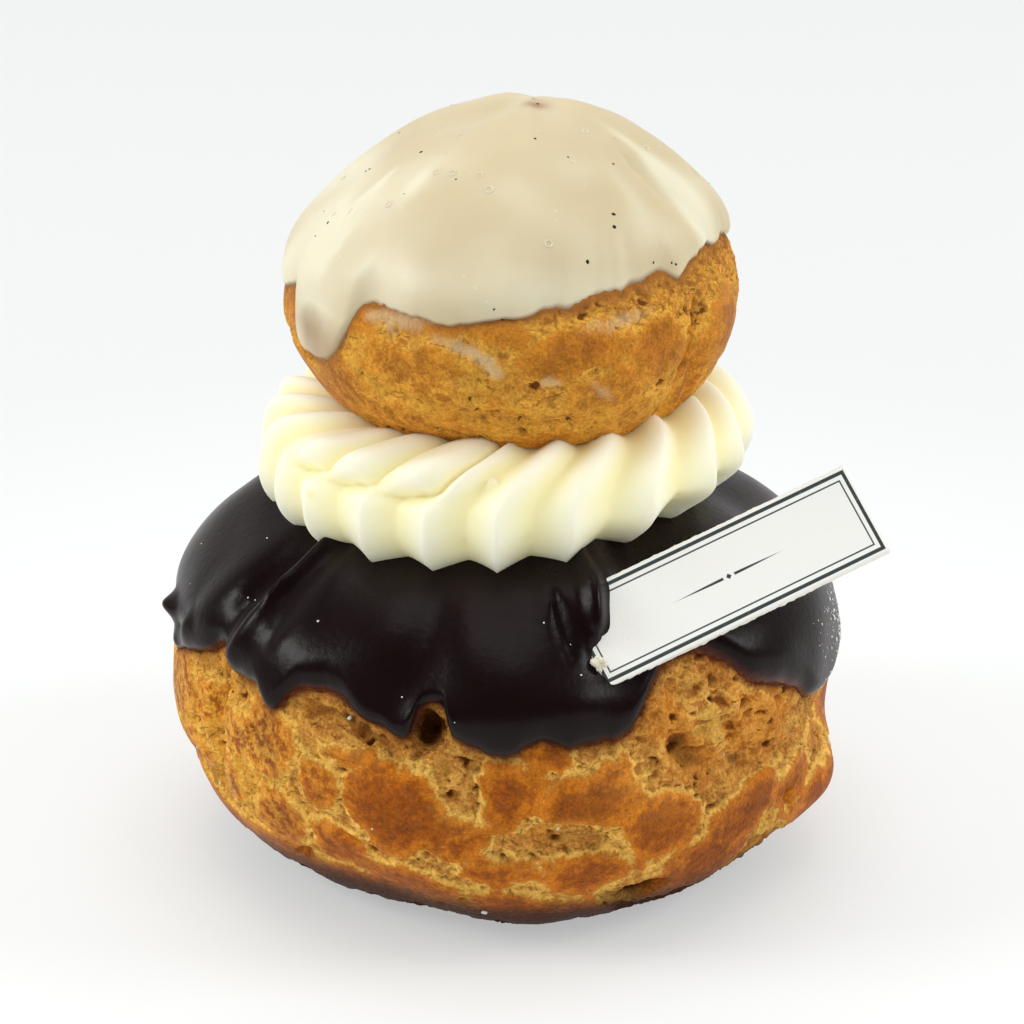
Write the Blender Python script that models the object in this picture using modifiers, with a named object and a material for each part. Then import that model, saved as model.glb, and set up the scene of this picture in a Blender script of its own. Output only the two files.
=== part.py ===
"""A religieuse: two iced choux buns, one on the other, with a piped collar of cream between them.

The large bun stands on its flat base at the origin, +Z up, and its front looks to -Y. Turns are
measured round +Z from the front, towards +X. Lengths are in millimetres until a mesh is placed.
"""

import math
from dataclasses import dataclass

import bmesh
import bpy
from mathutils import Matrix, Vector

MM = 0.001
GAP = 0.32                # clearance between neighbours that touch
ICING_GAP = 0.48          # the same under the icing, whose flat faces bridge the crust's hollows
COLLAR_GAP = 0.7          # the same under the collar, whose flat faces bridge the round surfaces
PASTRY = "religieuse"

# Driving dimensions of the two buns
LARGE_RADIUS = 36.5
LARGE_BELLY = 21.5        # height of the widest ring
LARGE_RISE = 22.1         # from the widest ring to the crown
LARGE_DROP = 26.5         # from the widest ring to the round underside, which the base cuts flat
SMALL_RADIUS = 23.7
SMALL_BELLY = 65.0
SMALL_RISE = 18.4
SMALL_DROP = 19.2
SMALL_BASE = 46.8
SMALL_LEAN = 8.0          # degrees that the small bun leans to the right

# Icing
CHOCOLATE_HEM = 28.0      # mean height of the chocolate's lower edge
VANILLA_HEM = 68.2
ICING_WALL = 1.6
ICING_LIMIT = 4.4         # thickest place that the icing may reach

# Collar of cream, piped round with a star nozzle
COLLAR_RADIUS = 20.0      # from the bun's axis to the middle of the piped rope
COLLAR_HEIGHT = 46.4
ROPE_RADIUS = 6.2
ROPE_RIDGES = 23
RIDGE_DEPTH = 1.7
RIDGE_LEAN = 17.0         # degrees that each ridge is carried round as it passes over the top
COLLAR_SAG = 0.9          # how much lower the collar lies on the left

# Plaque of white chocolate
PLAQUE_LENGTH = 34.0
PLAQUE_WIDTH = 9.8
PLAQUE_THICKNESS = 1.7
PLAQUE_CENTRE = Vector((23.0, -23.2, 40.1))
PLAQUE_TURN = 12.0        # the way its face looks, round from the front
PLAQUE_TILT = 38.0        # how far its face looks up
PLAQUE_CLIMB = 20.5       # how steeply its long edge climbs to the right

# Mesh density
LARGE_GRID = (66, 21)     # segments round and rings down
SMALL_GRID = (46, 16)
CHOCOLATE_GRID = (66, 10)
VANILLA_GRID = (46, 8)
SIDES_PER_RIDGE = 4
ROPE_SIDES = 10


@dataclass(frozen=True)
class Lump:
    """A swelling of a surface, or a hollow where its depth is negative."""

    turn: float
    height: float
    half_width: float
    half_height: float
    depth: float

    def at(self, turn, height, radius):
        """Return how far the lump lifts the surface at a turn and height."""
        across = math.radians(turn_between(self.turn, turn)) * radius / self.half_width
        along = (height - self.height) / self.half_height
        return self.depth * math.exp(-across ** 2 - along ** 2)


@dataclass(frozen=True)
class Lobe:
    """A tongue of icing that runs down from the hem, or a bay where its reach is negative."""

    turn: float
    half_turn: float
    reach: float

    def at(self, turn):
        """Return how far the lobe lowers the hem at a turn."""
        return self.reach * math.exp(-(turn_between(self.turn, turn) / self.half_turn) ** 2)


@dataclass(frozen=True)
class Bun:
    """A choux bun: a full round shape above and below its widest ring, cut flat at its base."""

    radius: float
    belly: float
    rise: float
    drop: float
    base: float
    fullness_above: float
    fullness_below: float
    lean: float
    lumps: tuple

    def profile(self, polar):
        """Return the radius and height of the plain round shape at a polar angle."""
        above = math.cos(polar) > 0.0
        power = 2.0 / (self.fullness_above if above else self.fullness_below)
        radius = self.radius * max(math.sin(polar), 0.0) ** power
        level = abs(math.cos(polar)) ** power
        height = self.belly + (self.rise * level if above else -self.drop * level)
        return radius, height

    def polar_at(self, height):
        """Return the polar angle at which the plain round shape has a height."""
        if height >= self.belly:
            return math.acos(((height - self.belly) / self.rise) ** (self.fullness_above / 2.0))
        return math.pi - math.acos(((self.belly - height) / self.drop) ** (self.fullness_below / 2.0))

    def point(self, turn, polar, lift=0.0):
        """Return the place on the crust at a turn and polar angle, lifted outwards by some length."""
        radius, height = self.profile(polar)
        ring = math.sin(polar)
        swell = sum(lump.at(turn, height, self.radius) for lump in self.lumps)
        swell += ring * unevenness(turn, height)
        angle = math.radians(turn)
        spot = Vector((radius * math.sin(angle), -radius * math.cos(angle), height - self.belly))
        spot += spot.normalized() * (swell + lift)
        spot.rotate(Matrix.Rotation(math.radians(self.lean), 3, "Y"))
        spot.z = max(spot.z + self.belly, self.base)
        return spot


def turn_between(first, second):
    """Return the shortest turn in degrees from the first direction to the second."""
    return (second - first + 180.0) % 360.0 - 180.0


def unevenness(turn, height):
    """Return the slow unevenness of baked dough at a turn and height."""
    angle = math.radians(turn)
    slow = 0.35 * math.sin(3.0 * angle + height / 11.0) + 0.25 * math.sin(5.0 * angle - height / 7.0 + 1.3)
    quick = 0.18 * math.sin(9.0 * angle + height / 4.0 + 0.6)
    return slow + quick


LARGE_LUMPS = (
    Lump(turn=81, height=10.0, half_width=9.0, half_height=2.8, depth=2.2),      # lip of the torn side
    Lump(turn=82, height=17.0, half_width=8.0, half_height=3.0, depth=-1.3),     # notch over the lip
    Lump(turn=46, height=22.0, half_width=13.0, half_height=6.5, depth=-1.0),    # torn, spongy side
    Lump(turn=-12.8, height=25.0, half_width=3.2, half_height=2.2, depth=-1.8),  # hole under the hem
    Lump(turn=-60, height=20.0, half_width=2.4, half_height=7.5, depth=-1.3),    # fold on the left
    Lump(turn=-76, height=17.0, half_width=8.0, half_height=7.0, depth=0.7),     # bulge beside the fold
    Lump(turn=-45, height=37.0, half_width=5.0, half_height=9.0, depth=0.9),     # ridge under the icing
    Lump(turn=-55, height=36.0, half_width=4.5, half_height=7.0, depth=-1.1),    # furrow beside it
    Lump(turn=-92, height=37.0, half_width=15.0, half_height=8.0, depth=1.0),    # fuller left shoulder
    Lump(turn=90, height=38.0, half_width=15.0, half_height=7.0, depth=-0.5),    # and a flatter right one
    Lump(turn=135, height=17.0, half_width=9.0, half_height=5.0, depth=1.0),
    Lump(turn=200, height=22.0, half_width=11.0, half_height=7.0, depth=-0.9),
    Lump(turn=232, height=14.0, half_width=8.0, half_height=5.0, depth=0.9),
)
SMALL_LUMPS = (
    Lump(turn=-90, height=79.0, half_width=17.0, half_height=8.0, depth=-2.2),   # low left shoulder
    Lump(turn=90, height=74.0, half_width=15.0, half_height=7.0, depth=1.2),     # full right side
    Lump(turn=56, height=63.0, half_width=2.0, half_height=6.0, depth=-1.0),     # fold on the right
    Lump(turn=70, height=62.0, half_width=6.0, half_height=6.0, depth=0.4),
    Lump(turn=-25, height=56.0, half_width=6.0, half_height=4.0, depth=0.5),
    Lump(turn=150, height=59.0, half_width=7.0, half_height=5.0, depth=0.6),
    Lump(turn=215, height=62.0, half_width=3.0, half_height=5.0, depth=-0.8),
)
CHOCOLATE_LOBES = (
    Lobe(turn=-78, half_turn=9, reach=2.8),
    Lobe(turn=-60, half_turn=3, reach=-1.9),
    Lobe(turn=-41, half_turn=3, reach=1.4),
    Lobe(turn=-33, half_turn=5, reach=-0.9),
    Lobe(turn=-17.5, half_turn=4, reach=1.4),
    Lobe(turn=-11, half_turn=3, reach=-2.2),
    Lobe(turn=1, half_turn=9, reach=2.2),
    Lobe(turn=35, half_turn=9, reach=-4.4),
    Lobe(turn=72, half_turn=15, reach=6.6),
    Lobe(turn=104, half_turn=9, reach=-1.5),
    Lobe(turn=126, half_turn=9, reach=2.6),
    Lobe(turn=176, half_turn=10, reach=1.8),
    Lobe(turn=202, half_turn=8, reach=-1.9),
    Lobe(turn=228, half_turn=9, reach=2.4),
)
VANILLA_LOBES = (
    Lobe(turn=-56, half_turn=14, reach=6.2),        # thin run of icing on the left
    Lobe(turn=-10, half_turn=16, reach=1.0),
    Lobe(turn=52, half_turn=4, reach=1.1),
    Lobe(turn=112, half_turn=10, reach=2.8),
    Lobe(turn=160, half_turn=12, reach=1.6),
    Lobe(turn=205, half_turn=12, reach=-1.2),
    Lobe(turn=240, half_turn=12, reach=3.0),
)
# Places where the chocolate is thicker than its wall
CHOCOLATE_SWELLS = (
    Lump(turn=2.7, height=32.0, half_width=7.0, half_height=5.0, depth=1.1),     # heavy drip in front
    Lump(turn=-14, height=35.0, half_width=3.5, half_height=5.0, depth=-0.6),    # furrow beside the drip
    Lump(turn=16, height=38.2, half_width=7.0, half_height=3.5, depth=2.1),      # lip that holds the plaque
    Lump(turn=-81, height=29.5, half_width=3.0, half_height=2.0, depth=1.6),     # curled tip on the left
)
VANILLA_SWELLS = (
    Lump(turn=-58, height=73.0, half_width=4.0, half_height=3.0, depth=0.6),
    Lump(turn=74, height=74.0, half_width=3.5, half_height=3.5, depth=0.6),
)

LARGE_BUN = Bun(LARGE_RADIUS, LARGE_BELLY, LARGE_RISE, LARGE_DROP, 0.0, 2.25, 2.3, 0.0, LARGE_LUMPS)
SMALL_BUN = Bun(SMALL_RADIUS, SMALL_BELLY, SMALL_RISE, SMALL_DROP, SMALL_BASE, 1.66, 2.05, SMALL_LEAN,
                SMALL_LUMPS)


def remove_everything():
    """Empty the scene."""
    for item in list(bpy.data.objects):
        bpy.data.objects.remove(item, do_unlink=True)


def new_collection(name):
    """Return a new collection linked to the scene."""
    collection = bpy.data.collections.new(name)
    bpy.context.scene.collection.children.link(collection)
    return collection


def new_material(name, colour, roughness):
    """Return a plain Principled material."""
    material = bpy.data.materials.new(name)
    material.use_nodes = True
    shader = material.node_tree.nodes["Principled BSDF"]
    shader.inputs["Base Color"].default_value = (*colour, 1.0)
    shader.inputs["Roughness"].default_value = roughness
    shader.inputs["Metallic"].default_value = 0.0
    material.diffuse_color = (*colour, 1.0)
    return material


def finish_object(name, mesh_maker, collection, material):
    """Turn a bmesh in millimetres into a smooth-shaded object in metres."""
    bmesh.ops.transform(mesh_maker, matrix=Matrix.Scale(MM, 4), verts=mesh_maker.verts)
    bmesh.ops.recalc_face_normals(mesh_maker, faces=mesh_maker.faces)
    mesh = bpy.data.meshes.new(name)
    mesh_maker.to_mesh(mesh)
    mesh_maker.free()
    mesh.shade_smooth()
    mesh.set_sharp_from_angle(angle=math.radians(50.0))
    mesh.materials.append(material)
    item = bpy.data.objects.new(name, mesh)
    collection.objects.link(item)
    return item


def ball_angles(spot):
    """Return the turn in degrees and the polar angle of a point on a unit ball."""
    turn = math.degrees(math.atan2(spot.x, -spot.y))
    polar = math.acos(max(-1.0, min(1.0, spot.z)))
    return turn, polar


def make_crust(name, bun, grid, collection, material):
    """Return a bun's crust, shaped from a ball."""
    shape = bmesh.new()
    bmesh.ops.create_uvsphere(shape, u_segments=grid[0], v_segments=grid[1], radius=1.0)
    for vertex in shape.verts:
        vertex.co = bun.point(*ball_angles(vertex.co))
    return finish_object(name, shape, collection, material)


def hem_height(turn, mean, tilt, lobes):
    """Return the height of an icing's lower edge at a turn."""
    return mean + tilt * math.sin(math.radians(turn)) - sum(lobe.at(turn) for lobe in lobes)


def icing_wall(turn, polar, bun, swells):
    """Return the thickness of the icing on a bun, away from its hem."""
    height = bun.profile(polar)[1]
    return ICING_WALL + sum(swell.at(turn, height, bun.radius) for swell in swells)


def make_icing(name, bun, grid, hem, swells, collection, material):
    """Return a cap of icing: the upper half of a ball laid on the bun down to its hem, given a wall.

    The wall thins over the last rings, so that the hem has a rounded lip.
    """
    segments, rings = grid
    shape = bmesh.new()
    bmesh.ops.create_uvsphere(shape, u_segments=segments, v_segments=2 * rings, radius=1.0)
    below = [vertex for vertex in shape.verts if vertex.co.z < -0.001]
    bmesh.ops.delete(shape, geom=below, context="VERTS")
    walls = {}
    for vertex in shape.verts:
        turn, polar = ball_angles(vertex.co)
        fraction = polar / (math.pi / 2.0)
        hem_polar = bun.polar_at(hem_height(turn, *hem))
        spread = fraction * hem_polar
        wall = icing_wall(turn, spread, bun, swells)
        to_hem = (1.0 - fraction) * rings
        wall *= 1.0 - 0.62 * math.exp(-to_hem * 1.9)
        vertex.co = bun.point(turn, spread, ICING_GAP)
        walls[vertex.index] = max(wall, 0.45)
    shape.verts.index_update()
    order = [walls[index] for index in sorted(walls)]
    item = finish_object(name, shape, collection, material)
    group = item.vertex_groups.new(name="wall")
    for index, wall in enumerate(order):
        group.add([index], wall / ICING_LIMIT, "REPLACE")
    shell = item.modifiers.new("wall", "SOLIDIFY")
    shell.thickness = ICING_LIMIT * MM
    shell.offset = 1.0
    shell.use_even_offset = False
    shell.vertex_group = group.name
    return item


def push_out(spot, bun, clearance, swells=None):
    """Move a point clear of a bun, and of the icing on it where its swells are given."""
    middle = Vector((0.0, 0.0, bun.belly))
    arm = spot - middle
    straight = arm.copy()
    straight.rotate(Matrix.Rotation(math.radians(-bun.lean), 3, "Y"))
    turn = math.degrees(math.atan2(straight.x, -straight.y))
    polar = surface_polar(bun, straight)
    lift = clearance
    if swells is not None:
        lift += ICING_GAP + icing_wall(turn, polar, bun, swells)
    reach = (bun.point(turn, polar, lift) - middle).length
    if arm.length < reach:
        arm = arm.normalized() * reach
    return middle + arm


def surface_polar(bun, arm):
    """Return the polar angle whose point on the plain bun lies along an arm from its middle."""
    flat = math.hypot(arm.x, arm.y)
    above = arm.z >= 0.0
    fullness = bun.fullness_above if above else bun.fullness_below
    tall = bun.rise if above else bun.drop
    across = (flat / bun.radius) ** (fullness / 2.0)
    along = (abs(arm.z) / tall) ** (fullness / 2.0)
    polar = math.atan2(across, along)
    return polar if above else math.pi - polar


def ease(value):
    """Return a value held between 0 and 1 and eased at both ends."""
    value = max(0.0, min(1.0, value))
    return value * value * (3.0 - 2.0 * value)


def make_collar(name, collection, material):
    """Return the piped collar: a torus whose rope has star ridges that lean as they pass over the top."""
    rounds = ROPE_RIDGES * SIDES_PER_RIDGE
    bpy.ops.mesh.primitive_torus_add(major_segments=rounds, minor_segments=ROPE_SIDES,
                                     major_radius=COLLAR_RADIUS, minor_radius=ROPE_RADIUS)
    start = bpy.context.object
    shape = bmesh.new()
    shape.from_mesh(start.data)
    bpy.data.objects.remove(start, do_unlink=True)
    for vertex in shape.verts:
        turn = math.degrees(math.atan2(vertex.co.x, -vertex.co.y))
        out = math.hypot(vertex.co.x, vertex.co.y) - COLLAR_RADIUS
        around = math.degrees(math.atan2(vertex.co.z, out))
        phase = math.radians(turn * ROPE_RIDGES)
        ridge = 1.0 - abs(math.sin(phase / 2.0)) ** 1.3
        size = 1.0 + 0.05 * math.sin(math.radians(3.0 * turn) + 0.7) + 0.04 * math.sin(math.radians(7.0 * turn))
        rope = ROPE_RADIUS * size + RIDGE_DEPTH * (ridge - 0.45) * ease((around + 130.0) / 60.0)
        carried = turn + RIDGE_LEAN * ease((around - 15.0) / 110.0)
        carried += 1.6 * math.sin(math.radians(4.0 * turn + 30.0))
        angle = math.radians(carried)
        radius = COLLAR_RADIUS + rope * math.cos(math.radians(around))
        height = COLLAR_HEIGHT + rope * math.sin(math.radians(around)) + COLLAR_SAG * math.sin(angle)
        spot = Vector((radius * math.sin(angle), -radius * math.cos(angle), height))
        spot = push_out(spot, SMALL_BUN, COLLAR_GAP)
        vertex.co = push_out(spot, LARGE_BUN, COLLAR_GAP, CHOCOLATE_SWELLS)
    return finish_object(name, shape, collection, material)


def plaque_frame():
    """Return the turn matrix whose axes are the plaque's long edge, its short edge and its face."""
    turn = math.radians(PLAQUE_TURN)
    tilt = math.radians(PLAQUE_TILT)
    face = Vector((math.sin(turn) * math.cos(tilt), -math.cos(turn) * math.cos(tilt), math.sin(tilt)))
    level = Vector((math.cos(turn), math.sin(turn), 0.0))
    upward = face.cross(level)
    climb = math.radians(PLAQUE_CLIMB)
    along = level * math.cos(climb) + upward * math.sin(climb)
    across = face.cross(along)
    return Matrix((along, across, face)).transposed()


def make_slab(name, spare, bevel, collection, material):
    """Return the plaque's slab, larger by some spare length all round."""
    shape = bmesh.new()
    bmesh.ops.create_cube(shape, size=1.0)
    size = Vector((PLAQUE_LENGTH, PLAQUE_WIDTH, PLAQUE_THICKNESS)) + Vector((2.0, 2.0, 2.0)) * spare
    place = Matrix.Translation(PLAQUE_CENTRE) @ plaque_frame().to_4x4() @ Matrix.Diagonal((*size, 1.0))
    bmesh.ops.transform(shape, matrix=place, verts=shape.verts)
    item = finish_object(name, shape, collection, material)
    if bevel:
        edge = item.modifiers.new("rounded edge", "BEVEL")
        edge.width = bevel * MM
        edge.segments = 2
    return item


def cut(item, cutter):
    """Cut one object out of another with an exact Boolean."""
    boolean = item.modifiers.new("pocket", "BOOLEAN")
    boolean.operation = "DIFFERENCE"
    boolean.solver = "EXACT"
    boolean.object = cutter
    cutter.hide_render = True
    cutter.display_type = "WIRE"


def build():
    """Build the whole pastry."""
    remove_everything()
    pastry = new_collection(PASTRY)
    cutters = new_collection("cutters")
    crust = new_material("baked choux", (0.33, 0.12, 0.018), 0.62)
    chocolate = new_material("chocolate icing", (0.012, 0.006, 0.006), 0.3)
    vanilla = new_material("vanilla icing", (0.72, 0.60, 0.38), 0.35)
    cream = new_material("buttercream", (0.90, 0.83, 0.58), 0.5)
    white = new_material("white chocolate", (0.86, 0.84, 0.78), 0.45)

    make_crust("large_choux", LARGE_BUN, LARGE_GRID, pastry, crust)
    chocolate_hem = (CHOCOLATE_HEM, 0.0, CHOCOLATE_LOBES)
    cap = make_icing("chocolate_icing", LARGE_BUN, CHOCOLATE_GRID, chocolate_hem, CHOCOLATE_SWELLS,
                     pastry, chocolate)
    make_collar("cream_collar", pastry, cream)
    make_crust("small_choux", SMALL_BUN, SMALL_GRID, pastry, crust)
    vanilla_hem = (VANILLA_HEM, 1.5, VANILLA_LOBES)
    make_icing("vanilla_icing", SMALL_BUN, VANILLA_GRID, vanilla_hem, VANILLA_SWELLS, pastry, vanilla)
    make_slab("plaque", 0.0, 0.25, pastry, white)
    cut(cap, make_slab("plaque_pocket", GAP, 0.0, cutters, white))


build()
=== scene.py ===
"""Dress a religieuse: cracked choux, fondant icing, a piped collar of cream and a small plaque.

The pastry stands on its flat base, +Z up, and its front looks to -Y. A turn is measured in degrees
round +Z from the front, towards +X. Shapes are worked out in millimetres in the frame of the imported
solids, and are scaled to metres as each mesh is made.
"""

import logging
import math
from collections.abc import Callable
from dataclasses import dataclass, field
from enum import Enum

import bmesh
import bpy
import numpy as np
from mathutils import Matrix, Vector
from mathutils.bvhtree import BVHTree

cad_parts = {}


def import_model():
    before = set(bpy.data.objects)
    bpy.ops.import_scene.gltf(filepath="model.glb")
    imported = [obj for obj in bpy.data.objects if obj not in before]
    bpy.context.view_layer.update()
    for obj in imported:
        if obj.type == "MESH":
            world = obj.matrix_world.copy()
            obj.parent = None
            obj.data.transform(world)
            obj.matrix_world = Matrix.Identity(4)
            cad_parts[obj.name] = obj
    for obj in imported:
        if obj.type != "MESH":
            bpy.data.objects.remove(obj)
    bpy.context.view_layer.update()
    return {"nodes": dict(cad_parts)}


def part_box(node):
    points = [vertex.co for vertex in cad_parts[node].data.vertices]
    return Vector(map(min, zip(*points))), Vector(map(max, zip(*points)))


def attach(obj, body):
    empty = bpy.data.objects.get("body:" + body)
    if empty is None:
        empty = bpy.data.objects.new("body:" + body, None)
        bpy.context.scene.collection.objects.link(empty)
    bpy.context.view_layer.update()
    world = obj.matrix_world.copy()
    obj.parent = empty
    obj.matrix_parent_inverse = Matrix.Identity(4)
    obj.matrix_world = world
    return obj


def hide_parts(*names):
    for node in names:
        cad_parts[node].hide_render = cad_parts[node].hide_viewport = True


log = logging.getLogger("religieuse")

Array = np.ndarray
Colour = tuple[float, float, float]
Item = bpy.types.Object
Material = bpy.types.Material
Node = bpy.types.Node
Socket = bpy.types.NodeSocket
Tree = bpy.types.NodeTree

MM = 0.001
BODY = "root"
POLE_FADE = 2.5         # a bun's lumps die out this near its poles
BASE_ROUNDING = 0.2     # the rounding where a bun turns flat at its base
HEM_RING = 35.0         # the radius at which a hem's fringe is drawn
BARE = -3.0             # how far outside every plate bare crust counts as lying
TEAR_CUT = 3.0          # how strongly a tear cuts into the plates
CROWDING = 14.0         # by how many degrees a crust's columns crowd towards the front
WILD_FOOT = 5.0         # how far above the base the plates on the unseen sides begin
WILD_TOP = 1.5          # how far below the hem they end
WILD_ROW = 6.3          # the height of a row of them
WILD_HALF = (2.2, 5.4)  # their half widths
WILD_RISE = (1.9, 3.3)  # their half heights
WILD_GAP = (0.2, 2.6)   # the gaps between them
WILD_SLANT = 22.0
PROFILE_STEPS = 3000    # the steps in which a bun's profile is measured
COVERED = 5.5           # how far above the hem a crust's rings turn coarse, under the icing
HIDDEN_ROWS = 14
FOOT_ROWS = 9
LIP_REACH = 3.4         # the part of an icing cap with close rings, up from its hem
LIP_ROWS = 26
LINING_ROWS = 14
THINNEST_ICING = 0.75
RAY_START = 80.0        # far enough out to lie outside every piece


def turn_between(first: float | Array, second: float | Array) -> float | Array:
    """Return the shortest turn in degrees from the first direction to the second."""
    return (second - first + 180.0) % 360.0 - 180.0


def ease(value: Array) -> Array:
    """Return values held between 0 and 1 and eased at both ends."""
    held = np.clip(value, 0.0, 1.0)
    return held * held * (3.0 - 2.0 * held)


def waves(places: Array, length: float, seed: int, count: int = 16) -> Array:
    """Return a smooth random field over some places.

    Args:
        places: points in millimetres, with their coordinates on the last axis.
        length: the typical wave length in millimetres.
        seed: the seed of the waves' directions and phases.
        count: how many waves are added up.

    Returns:
        One value a point, mostly between -1 and 1.
    """
    random = np.random.default_rng(seed)
    ways = random.normal(size=(count, 3))
    ways /= np.linalg.norm(ways, axis=1, keepdims=True)
    lengths = length * random.uniform(0.65, 1.45, count)
    phases = random.uniform(0.0, 2.0 * math.pi, count)
    angles = places @ (ways * (2.0 * math.pi / lengths)[:, None]).T + phases
    return np.sin(angles).sum(axis=-1) * math.sqrt(1.0 / count)


@dataclass(frozen=True)
class Lump:
    """A swelling of a surface, or a hollow where its depth is negative, in millimetres."""

    turn: float
    height: float
    half_width: float
    half_height: float
    depth: float

    def at(self, turn: Array, height: Array, radius: float) -> Array:
        """Return how far the lump lifts the surface at some turns and heights."""
        across = np.radians(turn_between(self.turn, turn)) * radius / self.half_width
        along = (height - self.height) / self.half_height
        return self.depth * np.exp(-across ** 2 - along ** 2)


@dataclass(frozen=True)
class Fold:
    """A ridge, or a furrow where its depth is negative, between two places on a round surface."""

    start: tuple[float, float]
    end: tuple[float, float]
    half_width: float
    depth: float

    def at(self, turn: Array, height: Array, radius: float) -> Array:
        """Return how far the fold lifts the surface at some turns and heights."""
        degree = math.radians(1.0) * radius
        run = turn_between(self.start[0], self.end[0]) * degree
        climb = self.end[1] - self.start[1]
        across = turn_between(self.start[0], turn) * degree
        along = height - self.start[1]
        share = np.clip((across * run + along * climb) / (run * run + climb * climb), 0.0, 1.0)
        distance = np.hypot(across - share * run, along - share * climb)
        taper = 0.35 + 0.65 * np.sin(math.pi * np.clip(share, 0.02, 0.98)) ** 0.5
        return self.depth * taper * np.exp(-(distance / (self.half_width * taper)) ** 2)


@dataclass(frozen=True)
class Lobe:
    """A tongue of icing that runs down from the hem, or a bay where its reach is negative."""

    turn: float
    half_turn: float
    reach: float
    power: float = 2.0

    def at(self, turn: Array) -> Array:
        """Return how far the lobe lowers the hem at some turns."""
        offset = np.abs(turn_between(self.turn, turn) / self.half_turn)
        return self.reach * np.exp(-offset ** self.power)


@dataclass(frozen=True)
class Plate:
    """A smooth, well baked patch of crust between cracks: a slanted oval in millimetres."""

    turn: float
    height: float
    half_width: float
    half_height: float
    slant: float = 0.0

    def inside(self, turn: Array, height: Array, radius: float) -> Array:
        """Return how far some places lie inside the patch's edge, negative outside it."""
        across = np.radians(turn_between(self.turn, turn)) * radius
        along = height - self.height
        slant = math.radians(self.slant)
        wide = (across * math.cos(slant) + along * math.sin(slant)) / self.half_width
        tall = (along * math.cos(slant) - across * math.sin(slant)) / self.half_height
        return (1.0 - np.hypot(wide, tall)) * min(self.half_width, self.half_height)


Swells = tuple[Lump | Fold, ...]


def rows(kind: type, *table: tuple) -> tuple:
    """Return features of one kind, made from rows of their values."""
    return tuple(kind(*row) for row in table)


@dataclass(frozen=True)
class Bun:
    """A choux bun: full and round above and below its widest ring, and flat at its base."""

    radius: float
    belly: float
    rise: float
    drop: float
    base: float
    fullness_above: float
    fullness_below: float
    lean: float
    lumps: Swells

    def profile(self, polar: Array) -> tuple[Array, Array]:
        """Return the plain round shape's radii and heights at some polar angles."""
        above = np.cos(polar) > 0.0
        power = np.where(above, 2.0 / self.fullness_above, 2.0 / self.fullness_below)
        radius = self.radius * np.maximum(np.sin(polar), 0.0) ** power
        level = np.abs(np.cos(polar)) ** power
        return radius, self.belly + np.where(above, self.rise * level, -self.drop * level)

    def polar_at(self, height: Array) -> Array:
        """Return the polar angles at which the plain round shape has some heights."""
        high = np.clip((height - self.belly) / self.rise, 0.0, 1.0) ** (self.fullness_above / 2.0)
        low = np.clip((self.belly - height) / self.drop, 0.0, 1.0) ** (self.fullness_below / 2.0)
        return np.where(height >= self.belly, np.arccos(high), math.pi - np.arccos(low))

    def place(self, turn: Array, polar: Array, lift: Array | float = 0.0) -> Array:
        """Return places on the bun.

        Args:
            turn: the turns in degrees.
            polar: the polar angles in radians.
            lift: how far outside the bun's surface the places lie, in millimetres.

        Returns:
            The places in millimetres, with their coordinates on the last axis.
        """
        turn, polar, lift = np.broadcast_arrays(turn, polar, lift)
        radius, height = self.profile(polar)
        angle = np.radians(turn)
        swell = sum(lump.at(turn, height, self.radius) for lump in self.lumps)
        swell = swell * (1.0 - np.exp(-(radius / POLE_FADE) ** 2))
        swell = swell + np.sin(polar) * self.unevenness(angle, height)
        arm = np.stack([radius * np.sin(angle), -radius * np.cos(angle), height - self.belly],
                       axis=-1)
        arm += arm / np.linalg.norm(arm, axis=-1, keepdims=True) * (swell + lift)[..., None]
        tilt = math.radians(self.lean)
        places = np.stack([
            arm[..., 0] * math.cos(tilt) + arm[..., 2] * math.sin(tilt),
            arm[..., 1],
            arm[..., 2] * math.cos(tilt) - arm[..., 0] * math.sin(tilt) + self.belly,
        ], axis=-1)
        over = (places[..., 2] - self.base) / BASE_ROUNDING
        places[..., 2] = self.base + BASE_ROUNDING * np.logaddexp(0.0, np.clip(over, -60.0, 400.0))
        return places

    @staticmethod
    def unevenness(angle: Array, height: Array) -> Array:
        """Return the slow unevenness of baked dough, at some angles in radians and heights."""
        slow = 0.35 * np.sin(3.0 * angle + height / 11.0)
        slow = slow + 0.25 * np.sin(5.0 * angle - height / 7.0 + 1.3)
        return slow + 0.18 * np.sin(9.0 * angle + height / 4.0 + 0.6)


def box_of(node: str) -> tuple[Array, Array]:
    """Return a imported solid's lowest and highest corners in millimetres."""
    low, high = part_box(node)
    return np.array(low) / MM, np.array(high) / MM


def bun_of(node: str, share: float, head: float, drop: float, **shape: object) -> Bun:
    """Return a bun's shape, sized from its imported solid.

    Args:
        node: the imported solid.
        share: how far up the solid its widest ring lies, from 0 to 1.
        head: how far its crown stands above the solid's top, in millimetres.
        drop: its round underside's depth, over the widest ring's height above the base.
        shape: the bun's other fields.

    Returns:
        The bun.
    """
    low, high = box_of(node)
    belly = low[2] + share * (high[2] - low[2])
    return Bun(radius=float((high - low)[:2].mean() / 2.0), belly=belly,
               rise=high[2] - belly + head, drop=drop * (belly - low[2]), base=low[2], **shape)


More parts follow.
